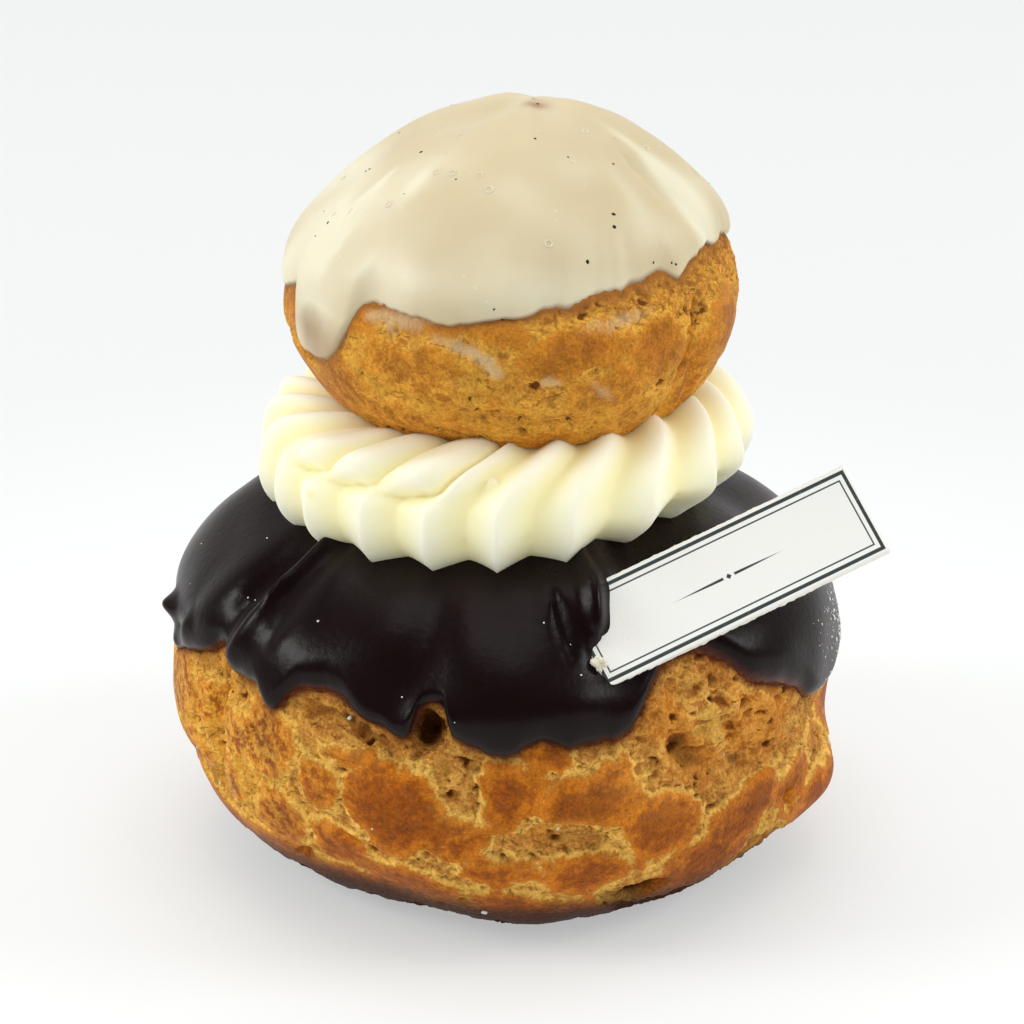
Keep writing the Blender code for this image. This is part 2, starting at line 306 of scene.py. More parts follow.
LARGE_LUMPS = rows(
    Lump, (0, 2, 60, 3, 0.4), (-20, 1.5, 20, 5, -0.8), (62, 7.5, 16, 4.5, 1.6),
    (-40, 6.5, 14, 4.5, -0.8), (81, 10, 9, 2.8, 2.2), (82, 17, 8, 3, -1.3), (46, 22, 13, 6.5, -1),
    (-60, 20, 2.4, 7.5, -1.3), (-76, 18.5, 8, 5.5, 0.8), (-72, 13.6, 8, 1.5, -0.8),
    (-45, 37, 5, 9, 0.9), (-55, 36, 4.5, 7, -1.1), (-92, 37, 15, 8, 1), (90, 38, 15, 7, -0.5),
    (135, 17, 9, 5, 1), (200, 22, 11, 7, -0.9), (232, 14, 8, 5, 0.9),
)
SMALL_LUMPS = rows(
    Lump, (-90, 78, 18, 5.5, -1.4), (-90, 82.6, 16, 2.2, -1.4), (-88, 70.5, 17, 6, -3),
    (-88, 64, 13, 4, -0.8), (84, 82.5, 16, 3, 0.6), (90, 73, 15, 7.5, 1.9), (56, 63, 2, 6, -1),
    (70, 62, 6, 6, 0.4), (86, 66, 11, 8, 1.2), (-82, 57.5, 10, 4, 0.4), (-25, 56, 6, 4, 0.5),
    (150, 59, 7, 5, 0.6), (215, 62, 3, 5, -0.8),
)


def add_object(name: str, data: bpy.types.ID) -> Item:
    """Return a new object of a mesh, a light or a camera, linked to the scene."""
    item = bpy.data.objects.new(name, data)
    bpy.context.scene.collection.objects.link(item)
    return item


def add_mesh(name: str, points: Array, edges: list | tuple = (), faces: list | tuple = ()) -> Item:
    """Return a new mesh object of points in millimetres, which its edges and faces join."""
    mesh = bpy.data.meshes.new(name)
    mesh.from_pydata((points * MM).tolist(), edges, faces)
    return add_object(name, mesh)


def ring_values(values: Array) -> Array:
    """Return a value for each vertex of a closed form, from values shaped (rings, points, ...)."""
    middle = values[1:-1].reshape(-1, *values.shape[2:])
    return np.concatenate([[values[0].mean(axis=0)], middle, [values[-1].mean(axis=0)]])


def closed_form(name: str, rounds: Array) -> Item:
    """Return a closed body skinned over rings of points.

    Args:
        name: the object's name.
        rounds: the rings in millimetres, shaped (rings, points, 3), from the top down. The points
            of a ring run from the front towards +X, and the first and last ring close to a point.

    Returns:
        The object, smooth shaded, with its vertices in the rings' order between its two poles.
    """
    rings, sides = rounds.shape[:2]
    points = ring_values(rounds)
    first = 1 + np.arange(sides)
    after = np.roll(first, -1)
    steps = (np.arange(rings - 3) * sides)[:, None]
    quads = np.stack([first + steps, first + steps + sides, after + steps + sides, after + steps],
                     axis=-1)
    last = (rings - 3) * sides
    foot = len(points) - 1
    faces = quads.reshape(-1, 4).tolist()
    faces += [(0, int(a), int(b)) for a, b in zip(first, after)]
    faces += [(foot, int(b) + last, int(a) + last) for a, b in zip(first, after)]
    form = add_mesh(name, points, faces=faces)
    form.data.shade_smooth()
    return form


def mark(item: Item, name: str, values: Array) -> None:
    """Store a number or a vector for each vertex of a mesh, as a named attribute.

    Args:
        item: the mesh object.
        name: the attribute's name.
        values: one number, or one row of three numbers, for each vertex.
    """
    kind, slot = ("FLOAT_VECTOR", "vector") if values.ndim == 2 else ("FLOAT", "value")
    attribute = item.data.attributes.new(name, kind, "POINT")
    attribute.data.foreach_set(slot, np.ascontiguousarray(values, dtype=np.float32).ravel())


def mark_rings(form: Item, **values: Array) -> None:
    """Store named values on a closed form, each shaped (rings, points) or (rings, points, 3)."""
    for name, rings in values.items():
        mark(form, name, ring_values(rings))


def vertex_places(item: Item) -> Array:
    """Return a mesh's vertices in millimetres."""
    places = np.empty(len(item.data.vertices) * 3)
    item.data.vertices.foreach_get("co", places)
    return places.reshape(-1, 3) / MM


def move_vertices(item: Item, places: Array) -> None:
    """Put a mesh's vertices at places given in millimetres."""
    item.data.vertices.foreach_set("co", (places * MM).ravel())
    item.data.update()


def recalculate_outward(mesh: bpy.types.Mesh) -> None:
    """Merge a mesh's doubles and turn its faces outwards."""
    shape = bmesh.new()
    shape.from_mesh(mesh)
    bmesh.ops.remove_doubles(shape, verts=shape.verts, dist=1e-7)
    bmesh.ops.recalc_face_normals(shape, faces=shape.faces)
    shape.to_mesh(mesh)
    shape.free()
    mesh.shade_smooth()


def worked(operation: str, swapped: bool = False) -> Callable[..., "Field"]:
    """Return a method of Field that lays a Math node.

    Args:
        operation: the Math node's operation.
        swapped: whether the other value comes first.

    Returns:
        The method, which takes the operation's other values.
    """
    def method(self: "Field", *others: "Number") -> "Field":
        """Lay the Math node and return its result."""
        node = lay(self.tree, "ShaderNodeMath", {"operation": operation})
        for slot, value in zip(node.inputs, (*others, self) if swapped else (self, *others)):
            feed(self.tree, slot, value)
        return Field(self.tree, node.outputs[0])

    return method


class Field:
    """A number inside a node tree. Arithmetic on it lays Math nodes in the tree."""

    def __init__(self, tree: Tree, socket: Socket) -> None:
        """Take an output socket of a node in the tree."""
        self.tree = tree
        self.socket = socket

    __add__, __radd__ = worked("ADD"), worked("ADD", swapped=True)
    __sub__, __rsub__ = worked("SUBTRACT"), worked("SUBTRACT", swapped=True)
    __mul__, __rmul__ = worked("MULTIPLY"), worked("MULTIPLY", swapped=True)
    __truediv__, __rtruediv__ = worked("DIVIDE"), worked("DIVIDE", swapped=True)
    __pow__, exponent, absolute = worked("POWER"), worked("EXPONENT"), worked("ABSOLUTE")
    lesser, greater, wrapped = worked("MINIMUM"), worked("MAXIMUM"), worked("FLOORED_MODULO")
    sine, cosine, direction = worked("SINE"), worked("COSINE"), worked("ARCTAN2")
    fraction, floor = worked("FRACT"), worked("FLOOR")

    def bell(self, middle: "Number", half: float) -> "Field":
        """Return a bell curve of height 1 round a middle."""
        offset = (self - middle) / half
        return (offset * offset * -1.0).exponent()

    def ramp(self, low: float, high: float) -> "Field":
        """Return 0 below one value and 1 above another, eased between. Low may be the higher."""
        node = lay(self.tree, "ShaderNodeMapRange", {"interpolation_type": "SMOOTHSTEP"},
                   Value=self, From_Min=low, From_Max=high)
        return Field(self.tree, node.outputs["Result"])

    def mix(self, first: "Number", second: "Number") -> "Field":
        """Return the first value where this is 0 and the second where it is 1."""
        return (1.0 - self) * first + self * second


Number = Field | float


def feed(tree: Tree, slot: Socket, value: object) -> None:
    """Give an input socket a field, a node's first output, a socket or a plain value."""
    if isinstance(value, Field):
        tree.links.new(value.socket, slot)
    elif isinstance(value, Node):
        tree.links.new(value.outputs[0], slot)
    elif isinstance(value, Socket):
        tree.links.new(value, slot)
    elif value is not None:
        slot.default_value = value


def lay(tree: Tree, kind: str, settings: dict | None = None, **inputs: object) -> Node:
    """Lay a node in a tree.

    Args:
        tree: the node tree.
        kind: the node's type.
        settings: the node's own properties.
        inputs: values or sockets for its inputs, by name, with _ for a space.

    Returns:
        The node.
    """
    node = tree.nodes.new(kind)
    for name, value in (settings or {}).items():
        setattr(node, name, value)
    for name, value in inputs.items():
        feed(tree, node.inputs[name.replace("_", " ")], value)
    return node


def scaled(tree: Tree, vector: object, factor: Number) -> Node:
    """Return a vector times a number."""
    return lay(tree, "ShaderNodeVectorMath", {"operation": "SCALE"}, Vector=vector, Scale=factor)


def noise(tree: Tree, place: object, size: float, detail: float = 2.0,
          roughness: float = 0.5) -> Field:
    """Return a noise field between 0 and 1 whose grain has a size in millimetres."""
    node = lay(tree, "ShaderNodeTexNoise", Vector=place, Scale=1.0 / (size * MM), Detail=detail,
               Roughness=roughness)
    return Field(tree, node.outputs[0])


def pockets(tree: Tree, place: object, size: float) -> tuple[Field, Field]:
    """Return the distance to the nearest wall between cells, and a random number for each cell."""
    wall, cell = (
        lay(tree, "ShaderNodeTexVoronoi", {"feature": feature}, Vector=place,
            Scale=1.0 / (size * MM)) for feature in ("DISTANCE_TO_EDGE", "F1"))
    split = lay(tree, "ShaderNodeSeparateXYZ", Vector=cell.outputs["Color"])
    return Field(tree, wall.outputs["Distance"]), Field(tree, split.outputs[0])


def bent(tree: Tree, place: object, stretch: tuple[float, float, float],
         size: float, amount: float) -> Socket:
    """Return places scaled along the axes and bent by a soft noise, both lengths in millimetres."""
    stretched = lay(tree, "ShaderNodeVectorMath", {"operation": "MULTIPLY"}, Vector=place)
    stretched.inputs[1].default_value = stretch
    wander = lay(tree, "ShaderNodeTexNoise", Vector=place, Scale=1.0 / (size * MM), Detail=2.0)
    moved = lay(tree, "ShaderNodeVectorMath", {"operation": "MULTIPLY_ADD"},
                Vector=wander.outputs["Color"])
    moved.inputs[1].default_value = (amount * MM,) * 3
    feed(tree, moved.inputs[2], stretched)
    return moved.outputs[0]


def add_socket(tree: Tree, name: str, way: str, kind: str, value: object = None) -> None:
    """Add a named input or output to a node group."""
    socket = tree.interface.new_socket(name, in_out=way, socket_type=kind)
    if value is not None:
        socket.default_value = value


class GrowthTree:
    """A Geometry Nodes tree with named inputs, which ends in Realize Instances and Set Material."""

    def __init__(self, name: str, inputs: dict[str, object]) -> None:
        """Start a tree.

        Args:
            name: the tree's name.
            inputs: the default of each named number input, a float or an int.
        """
        self.tree = bpy.data.node_groups.new(name, "GeometryNodeTree")
        add_socket(self.tree, "Geometry", "INPUT", "NodeSocketGeometry")
        for label, value in inputs.items():
            kind = "NodeSocketInt" if isinstance(value, int) else "NodeSocketFloat"
            add_socket(self.tree, label, "INPUT", kind, value)
        add_socket(self.tree, "Material", "INPUT", "NodeSocketMaterial")
        add_socket(self.tree, "Geometry", "OUTPUT", "NodeSocketGeometry")
        self.start = self.tree.nodes.new("NodeGroupInput")

    def given(self, name: str) -> Field:
        """Return a named input."""
        return Field(self.tree, self.start.outputs[name])

    def vector(self, name: str, kind: str = "FLOAT_VECTOR") -> Socket:
        """Return a vector, or another kind of value, stored on the geometry."""
        node = lay(self.tree, "GeometryNodeInputNamedAttribute", {"data_type": kind}, Name=name)
        return node.outputs["Attribute"]

    def attribute(self, name: str) -> Field:
        """Return a number stored on the geometry."""
        return Field(self.tree, self.vector(name, "FLOAT"))

    def store(self, geometry: Node, name: str, value: Field) -> Node:
        """Store a number on each point of the geometry."""
        return lay(self.tree, "GeometryNodeStoreNamedAttribute",
                   {"data_type": "FLOAT", "domain": "POINT"}, Geometry=geometry, Name=name,
                   Value=value)

    def finish(self, geometry: Node) -> None:
        """End the tree with real geometry that carries its material."""
        real = lay(self.tree, "GeometryNodeRealizeInstances", Geometry=geometry)
        dressed = lay(self.tree, "GeometryNodeSetMaterial", Geometry=real,
                      Material=self.start.outputs["Material"])
        lay(self.tree, "NodeGroupOutput", Geometry=dressed)

    def grow(self, carrier: Item, name: str, material: Material,
             **inputs: float | int) -> Item:
        """Run the tree on an object and keep the result as a plain mesh.

        Args:
            carrier: the object that the tree grows from. It is used up.
            name: the new object's name.
            material: the material that the tree sets.
            inputs: values for the tree's named inputs, with _ for a space.

        Returns:
            A new object with no modifier.
        """
        modifier = carrier.modifiers.new(self.tree.name, "NODES")
        modifier.node_group = self.tree
        wanted = {label.replace("_", " "): value for label, value in inputs.items()}
        wanted["Material"] = material
        for socket in self.tree.interface.items_tree:
            if socket.in_out == "INPUT" and socket.name in wanted:
                modifier[socket.identifier] = wanted[socket.name]
        bpy.context.view_layer.update()
        graph = bpy.context.evaluated_depsgraph_get()
        mesh = bpy.data.meshes.new_from_object(carrier.evaluated_get(graph))
        mesh.name = name
        bpy.data.objects.remove(carrier, do_unlink=True)
        return add_object(name, mesh)


class Finish:
    """A material under construction: its node tree and its Principled BSDF."""

    def __init__(self, name: str, **plain: object) -> None:
        """Start a material.

        Args:
            name: the material's name.
            plain: values for the shader's own sockets, with _ for a space.
        """
        self.material = bpy.data.materials.new(name)
        self.material.use_nodes = True
        self.tree = self.material.node_tree
        self.shader = next(node for node in self.tree.nodes if node.type == "BSDF_PRINCIPLED")
        self.give(**plain)

    def give(self, **looks: object) -> None:
        """Give the shader's sockets fields or plain values, by name with _ for a space."""
        for label, value in looks.items():
            feed(self.tree, self.shader.inputs[label.replace("_", " ")], value)

    def __getitem__(self, name: str) -> Field:
        """Return a number stored on the mesh."""
        node = lay(self.tree, "ShaderNodeAttribute", {"attribute_name": name})
        return Field(self.tree, node.outputs["Fac"])

    def vector(self, name: str) -> Socket:
        """Return a vector stored on the mesh."""
        return lay(self.tree, "ShaderNodeAttribute", {"attribute_name": name}).outputs["Vector"]

    def object_place(self) -> Socket:
        """Return places in the object's own coordinates."""
        return self.tree.nodes.new("ShaderNodeTexCoord").outputs["Object"]

    def effect(self, group: Tree, **inputs: object) -> dict[str, Field]:
        """Place a shared effect in the material.

        Args:
            group: the shared node group.
            inputs: values or sockets for its inputs, by name, with _ for a space.

        Returns:
            The group's outputs by name.
        """
        node = lay(self.tree, "ShaderNodeGroup", {"node_tree": group}, **inputs)
        return {out.name: Field(self.tree, out) for out in node.outputs}

    def drift(self, effects: "Effects", broad: float, fine: float,
              place: Socket | None = None) -> tuple[Field, Field]:
        """Return a slow and a fine variation of tone round 0.

        Args:
            effects: the shared effects.
            broad: the slow variation's scale.
            fine: the fine variation's scale.
            place: where it is read, the object's own coordinates unless given.

        Returns:
            The slow and the fine variation, each mostly between -0.25 and 0.25.
        """
        found = self.effect(effects.drift, Place=place or self.object_place(),
                            Broad_Scale=broad, Fine_Scale=fine)
        return found["Broad"] - 0.5, found["Fine"] - 0.5

    def tone(self, share: Field, first: object, second: object) -> Field:
        """Return the first colour where a share is 0 and the second where it is 1."""
        node = lay(self.tree, "ShaderNodeMix", {"data_type": "RGBA", "clamp_factor": True})
        for slot, value in zip((0, 6, 7), (share, first, second)):
            feed(self.tree, node.inputs[slot], (*value, 1.0) if isinstance(value, tuple) else value)
        return Field(self.tree, node.outputs[2])

    def coat(self, ground: object, *layers: tuple[Field, object]) -> object:
        """Return a ground colour under layers of others, each laid on by its own share."""
        for share, colour in layers:
            ground = self.tone(share, ground, colour)
        return ground

    def bump(self, height: Field) -> None:
        """Raise the surface in shading, by a height in millimetres."""
        node = lay(self.tree, "ShaderNodeBump", Distance=MM, Height=height, Strength=1.0)
        self.tree.links.new(node.outputs["Normal"], self.shader.inputs["Normal"])


class Effects:
    """Effects that more than one material uses, each a node group that is built once."""

    def __init__(self) -> None:
        """Build the groups."""
        self.crust = self._crust()
        self.drift = self._drift()
        self.dust = self._dust()

    @staticmethod
    def _group(name: str, inputs: dict[str, tuple[str, object]], outputs: tuple[str, ...],
               ) -> tuple[Tree, Node, Node]:
        """Start a shader node group and return its tree, its input node and its output node."""
        tree = bpy.data.node_groups.new(name, "ShaderNodeTree")
        for label, (kind, value) in inputs.items():
            add_socket(tree, label, "INPUT", kind, value)
        for label in outputs:
            add_socket(tree, label, "OUTPUT", "NodeSocketFloat")
        return tree, tree.nodes.new("NodeGroupInput"), tree.nodes.new("NodeGroupOutput")

    def _crust(self) -> Tree:
        """Build the pattern of plates, cracks and pits on choux crust."""
        tree, start, end = self._group(
            "choux crust pattern",
            {"Rest": ("NodeSocketVector", None), "Plate": ("NodeSocketFloat", 0.0),
             "Torn": ("NodeSocketFloat", 0.0)},
            ("Depth", "Plate", "Pits", "Bowls", "Rough", "Fleck", "Relief"))
        found = lay_crust_pattern(tree, start.outputs["Rest"], Field(tree, start.outputs["Plate"]),
                                  Field(tree, start.outputs["Torn"]))
        for label, value in found.items():
            feed(tree, end.inputs[label], value)
        return tree

    def _drift(self) -> Tree:
        """Build slow and fine variations of tone."""
        tree, start, end = self._group(
            "tone drift",
            {"Place": ("NodeSocketVector", None), "Broad Scale": ("NodeSocketFloat", 100.0),
             "Fine Scale": ("NodeSocketFloat", 1500.0)},
            ("Broad", "Fine"))
        for label in ("Broad", "Fine"):
            node = lay(tree, "ShaderNodeTexNoise", Vector=start.outputs["Place"],
                       Scale=start.outputs[label + " Scale"], Detail=3.0)
            feed(tree, end.inputs[label], node.outputs[0])
        return tree

    def _dust(self) -> Tree:
        """Build a sprinkle of fine specks, a share of the surface that follows a cover."""
        tree, start, end = self._group(
            "sugar dust",
            {"Place": ("NodeSocketVector", None), "Cover": ("NodeSocketFloat", 0.0),
             "Grain": ("NodeSocketFloat", 2200.0)},
            ("Dust",))
        node = lay(tree, "ShaderNodeTexVoronoi", Vector=start.outputs["Place"],
                   Scale=start.outputs["Grain"])
        split = lay(tree, "ShaderNodeSeparateXYZ", Vector=node.outputs["Color"])
        cover = Field(tree, start.outputs["Cover"])
        chosen = (cover - Field(tree, split.outputs[0])).ramp(0.0, 0.04)
        size = Field(tree, split.outputs[1]) * 0.22 + 0.12
        dust = (size - Field(tree, node.outputs["Distance"])).ramp(0.0, 0.08) * chosen
        feed(tree, end.inputs["Dust"], dust)
        return tree


def lay_crust_pattern(tree: Tree, rest: object, plate: Field, torn: Field,
                      ) -> dict[str, Field]:
    """Lay the pattern of a choux crust, for its relief and for its colours alike.

    Args:
        tree: a geometry or a shader node tree.
        rest: the places on the crust before it is raised, a vector socket in metres.
        plate: how far a place lies inside a smooth plate's edge, in millimetres.
        torn: how much the crust is torn open at a place, from 0 to 1.

    Returns:
        Depth inside a plate's ragged edge in millimetres, the share of Plate, Pits, Bowls, Rough
        and Fleck, and the Relief in millimetres.
    """
    ragged = (noise(tree, rest, 5.0, 2.0) - 0.5) * 5.0
    ragged = ragged + (noise(tree, rest, 1.5, 3.0, 0.6) - 0.5) * 3.2
    depth = plate + ragged + 0.85
    smooth = depth.ramp(-0.25, 0.5)
    gap = (1.0 - smooth).greater(torn)
    small = bent(tree, rest, (1.0, 1.0, 1.6), 2.2, 2.0)
    wall, choice = pockets(tree, small, 1.55)
    bowl = wall.ramp(0.02, 0.36) * choice.ramp(0.15, 0.85)
    wide = bent(tree, rest, (1.0, 1.0, 2.0), 3.6, 3.4)
    wide_wall, wide_choice = pockets(tree, wide, 3.1)
    cave = wide_wall.ramp(0.03, 0.34) * wide_choice.ramp(0.25, 0.8)
    bowl = torn.mix(bowl, cave.greater(bowl * 0.45)) * gap
    veins = wide_wall.ramp(0.07, 0.02) * noise(tree, rest, 2.4, 2.0).ramp(0.50, 0.58) * (1.0 - torn)
    edge = depth.bell(-0.5, 0.25) * noise(tree, small, 1.2, 2.0).ramp(0.54, 0.62)
    pinholes = noise(tree, small, 0.9, 3.0, 0.6).ramp(0.35, 0.29)
    pits = (wall.ramp(0.12, 0.28) * choice.ramp(0.86, 0.91)).greater(pinholes)
    pits = pits.greater(veins.greater(edge) * 0.55) * gap
    rough = noise(tree, rest, 1.3, 4.0, 0.62)
    fleck = noise(tree, rest, 0.5, 3.0, 0.6)
    relief = smooth * 0.4 - bowl * (0.3 + torn * 0.35) - pits * 0.5 + (rough - 0.5) * gap * 1.15
    relief = relief + depth.bell(-0.1, 0.35) * 0.12 + (noise(tree, rest, 8.0, 1.0) - 0.5) * 0.5
    return {"Depth": depth, "Plate": smooth, "Pits": pits, "Bowls": bowl, "Rough": rough,
            "Fleck": fleck, "Relief": relief}


@dataclass(frozen=True)
class CrustTones:
    """The colours of baked choux, from its plates' middles to the crumb in its tears, some of them
    painted light and shade.
    """

    heart: Colour = (0.205, 0.048, 0.006)
    middle: Colour = (0.37, 0.094, 0.008)
    rim: Colour = (0.57, 0.175, 0.012)
    # Partly the golden rim round plates and between bowls, partly a painted highlight: brightened to
    # stand for light catching those edges.
    halo_and_highlight: Colour = (0.92, 0.54, 0.11)
    band: Colour = (0.64, 0.31, 0.062)
    crack: Colour = (0.45, 0.175, 0.030)
    # Painted shade: the near-black put in pits and pinholes, where shade falls.
    pit_shade: Colour = (0.085, 0.022, 0.005)
    crumb: Colour = (0.34, 0.118, 0.022)
    # Partly the dark bake at the foot, partly painted shade: contact shadow at the foot and shade in
    # the hollows.
    bake_and_shade_tone: Colour = (0.055, 0.014, 0.002)
    gold: Colour = (0.74, 0.36, 0.046)
    stain: Colour = (0.11, 0.026, 0.008)
    glaze: Colour = (0.76, 0.56, 0.31)

    def make(self, name: str, effects: Effects) -> Material:
        """Return the crust's material.

        Args:
            name: the material's name.
            effects: the shared effects.

        Returns:
            A material that reads rest, plate, torn, gold, stain, glaze, and the bake and painted
            shade.
        """
        finish = Finish(name, Roughness=0.55, Specular_IOR_Level=0.06)
        rest, torn = finish.vector("rest"), finish["torn"]
        found = finish.effect(effects.crust, Rest=rest, Plate=finish["plate"], Torn=torn)
        broad, fine = finish.drift(effects, 130.0, 900.0, rest)
        grain_broad, grain_fine = finish.drift(effects, 420.0, 3300.0, rest)
        depth, fleck, bowls = found["Depth"], found["Fleck"], found["Bowls"]
        speck = fleck - 0.5
        skin = finish.coat(
            finish.tone(fleck.ramp(0.38, 0.60), self.crack, self.band),
            (found["Rough"].ramp(0.48, 0.34) * 0.7, self.crumb),
            (bowls * 0.85, self.crumb),
            # Golden halo at the plates' edges, brightened as a painted highlight.
            (depth.bell(-0.15, 0.42) * 0.9, self.halo_and_highlight),
            (depth.ramp(0.0, 0.75), self.rim),
            ((depth + fine * 4.0 + speck * 2.0).ramp(0.5, 2.2), self.middle),
            (fine.ramp(-0.10, 0.16) * depth.ramp(0.9, 2.8) * 0.65, self.heart),
            (finish["gold"] * (fine + speck * 0.7).ramp(0.18, -0.16), self.gold))
        flesh = finish.coat(
            finish.tone(fleck.ramp(0.42, 0.66), self.crack, self.band),
            (bowls.ramp(0.15, 0.0) * 0.6, self.halo_and_highlight),
            (broad.ramp(-0.04, 0.10) * 0.65, self.rim),
            (bowls.ramp(0.3, 0.95), self.crumb))
        # The pits are painted dark as shade.
        tone = finish.coat(skin, (torn * 0.85, flesh), (found["Pits"] * 0.85, self.pit_shade))
        shaded = lay(finish.tree, "ShaderNodeHueSaturation", Color=tone,
                     Value=grain_fine * 1.2 + grain_broad * 0.9 + 1.05)
        finish.give(Base_Color=finish.coat(
            shaded.outputs[0],
            # Darker at the foot and in hollows: partly bake, partly painted contact shadow and shade.
            ((finish["bake"] + broad * 0.35 + speck * 0.25).ramp(0.12, 0.95), self.bake_and_shade_tone),
            (finish["stain"] * (fine * 0.9 + 1.0), self.stain),
            ((finish["glaze"] + fine * 1.2).ramp(0.1, 1.0) * 0.65, self.glaze)),
            Roughness=found["Plate"].mix(0.68, 0.44) + speck * 0.2)
        finish.bump(speck * 0.4 + grain_fine * 0.12)
        return finish.material


@dataclass(frozen=True)
class ChocolateTones:
    """Dark chocolate fondant, which shows red where it runs thin."""

    deep: Colour = (0.0082, 0.0026, 0.0028)
    thin: Colour = (0.085, 0.016, 0.007)
    film: Colour = (0.26, 0.075, 0.014)
    sugar: Colour = (0.75, 0.73, 0.70)

    def make(self, name: str, effects: Effects) -> Material:
        """Return the chocolate icing's material, which reads the attributes film and dust."""
        finish = Finish(name, Roughness=0.3, Specular_IOR_Level=0.15, Sheen_Weight=0.03,
                        Sheen_Roughness=0.4)
        broad, fine = finish.drift(effects, 90.0, 1300.0)
        film = finish["film"] + fine * 0.5
        dust = finish.effect(effects.dust, Place=finish.object_place(), Cover=finish["dust"],
                             Grain=3400.0)["Dust"]
        finish.give(Base_Color=finish.coat(
            self.deep, (film.ramp(0.45, 0.0), self.thin), (film.ramp(0.14, -0.12), self.film),
            (dust, self.sugar)),
            Roughness=broad * 0.16 + fine * 0.1 + dust * 0.4 + 0.30)
        finish.bump(fine * 0.035 + dust * 0.1)
        return finish.material


@dataclass(frozen=True)
class VanillaTones:
    """Vanilla fondant, tan where the crust shows through it and whiter where it pools."""

    thin: Colour = (0.65, 0.545, 0.34)
    pool: Colour = (0.82, 0.77, 0.575)
    edge: Colour = (0.66, 0.46, 0.28)
    scorch: Colour = (0.36, 0.19, 0.10)
    grain: Colour = (0.92, 0.87, 0.68)

    def make(self, name: str, effects: Effects) -> Material:
        """Return the vanilla icing's material, which reads the attributes film, pool and scorch."""
        finish = Finish(name, Roughness=0.38, Specular_IOR_Level=0.25, Subsurface_Weight=0.25,
                        Subsurface_Radius=(1.0, 0.75, 0.45), Subsurface_Scale=0.0015)
        broad, fine = finish.drift(effects, 110.0, 2600.0)
        film = finish["film"] + broad * 0.3
        grain = finish.effect(effects.dust, Place=finish.object_place(), Cover=0.035,
                              Grain=1700.0)["Dust"]
        finish.give(Base_Color=finish.coat(
            self.thin, ((finish["pool"] + broad * 0.7).ramp(-0.1, 1.1), self.pool),
            (film.ramp(0.55, 0.0), self.edge), (finish["scorch"], self.scorch),
            (grain * 0.55, self.grain)),
            Roughness=fine * 0.12 + 0.4, Alpha=film.ramp(-0.1, 0.55))
        finish.bump(fine * 0.02 + grain * 0.02)
        return finish.material


@dataclass(frozen=True)
class CreamTones:
    """Butter cream, ivory on its ridges, with painted shade that yellows its valleys and pits."""

    ridge: Colour = (0.985, 0.935, 0.71)
    # Painted shade: the yellow that valleys, creases and pits get in place of the shade and warm
    # bounced light in them.
    valley_shade: Colour = (1.0, 0.885, 0.50)

    def make(self, name: str, effects: Effects) -> Material:
        """Return the cream's material, which reads the painted shade of its valleys and pits."""
        # A faint painted glow, the cream's emission, lifts its shade as if light passed through it.
        finish = Finish(name, Roughness=0.42, Specular_IOR_Level=0.25, Subsurface_Weight=0.6,
                        Subsurface_Radius=(1.0, 0.95, 0.85), Subsurface_Scale=0.0033,
                        Emission_Color=(1.0, 0.93, 0.68, 1.0), Emission_Strength=0.045)
        broad, fine = finish.drift(effects, 80.0, 1800.0)
        # Painted shade: the valleys, the crease under the upper tier and the air pits are yellowed.
        share = finish["valley_shade"] * 0.9 + broad * 0.3 + finish["pit_shade"] * 0.9
        finish.give(Base_Color=finish.tone(share.ramp(0.0, 1.0), self.ridge, self.valley_shade),
                    Roughness=fine * 0.14 + 0.44)
        finish.bump(fine * 0.02)
        return finish.material


@dataclass(frozen=True)
class PlaqueTones:
    """White chocolate printed with a dark border and a plain ornament."""

    ground: Colour = (0.885, 0.89, 0.85)
    edge: Colour = (0.90, 0.88, 0.80)
    ink: Colour = (0.043, 0.057, 0.052)
    outer_line: tuple[float, float] = (0.62, 0.20)      # its distance from the edge and half width
    inner_line: tuple[float, float] = (1.36, 0.085)
    rule: tuple[float, float, float] = (8.4, 0.17, 0.2)     # its reach, half width and offset
    gem: float = 0.34

    def make(self, name: str, effects: Effects, length: float, width: float) -> Material:
        """Return the plaque's material.

        Args:
            name: the material's name.
            effects: the shared effects.
            length: the plaque's length in millimetres.
            width: its width in millimetres.

        Returns:
            A material that reads the attributes along, across and face.
        """
        finish = Finish(name, Roughness=0.5, Specular_IOR_Level=0.4)
        along, across, face = finish["along"], finish["across"], finish["face"]
        broad, fine = finish.drift(effects, 150.0, 3200.0)
        margin = (length / 2.0 - along.absolute()).lesser(width / 2.0 - across.absolute())
        lines = self._line(margin, *self.outer_line).greater(self._line(margin, *self.inner_line))
        rule_reach, rule_half, offset = self.rule
        reach, off = (along - offset).absolute(), (across + offset).absolute()
        rule = (reach.ramp(rule_reach, 0.6) * rule_half - off).ramp(0.0, 0.05)
        rule = rule * reach.ramp(0.62, 0.70)
        gem = (self.gem - off - reach).ramp(0.0, 0.05)
        ink = lines.greater(rule.greater(gem)) * face.ramp(0.4, 0.6)
        ink = ink * (1.0 - fine.ramp(0.12, 0.32) * 0.35)
        finish.give(Base_Color=finish.coat(
            self.edge, (face, self.ground), (broad.ramp(-0.15, 0.4) * 0.5, self.edge),
            (ink, self.ink)),
            Roughness=fine * 0.12 + 0.5 - ink * 0.1)
        finish.bump(fine * 0.03)
        return finish.material

    @staticmethod
    def _line(margin: Field, middle: float, half: float) -> Field:
        """Return a printed line that runs at a distance from the plaque's edges."""
        return margin.ramp(middle - half - 0.03, middle - half + 0.03) * margin.ramp(
            middle + half + 0.03, middle + half - 0.03)


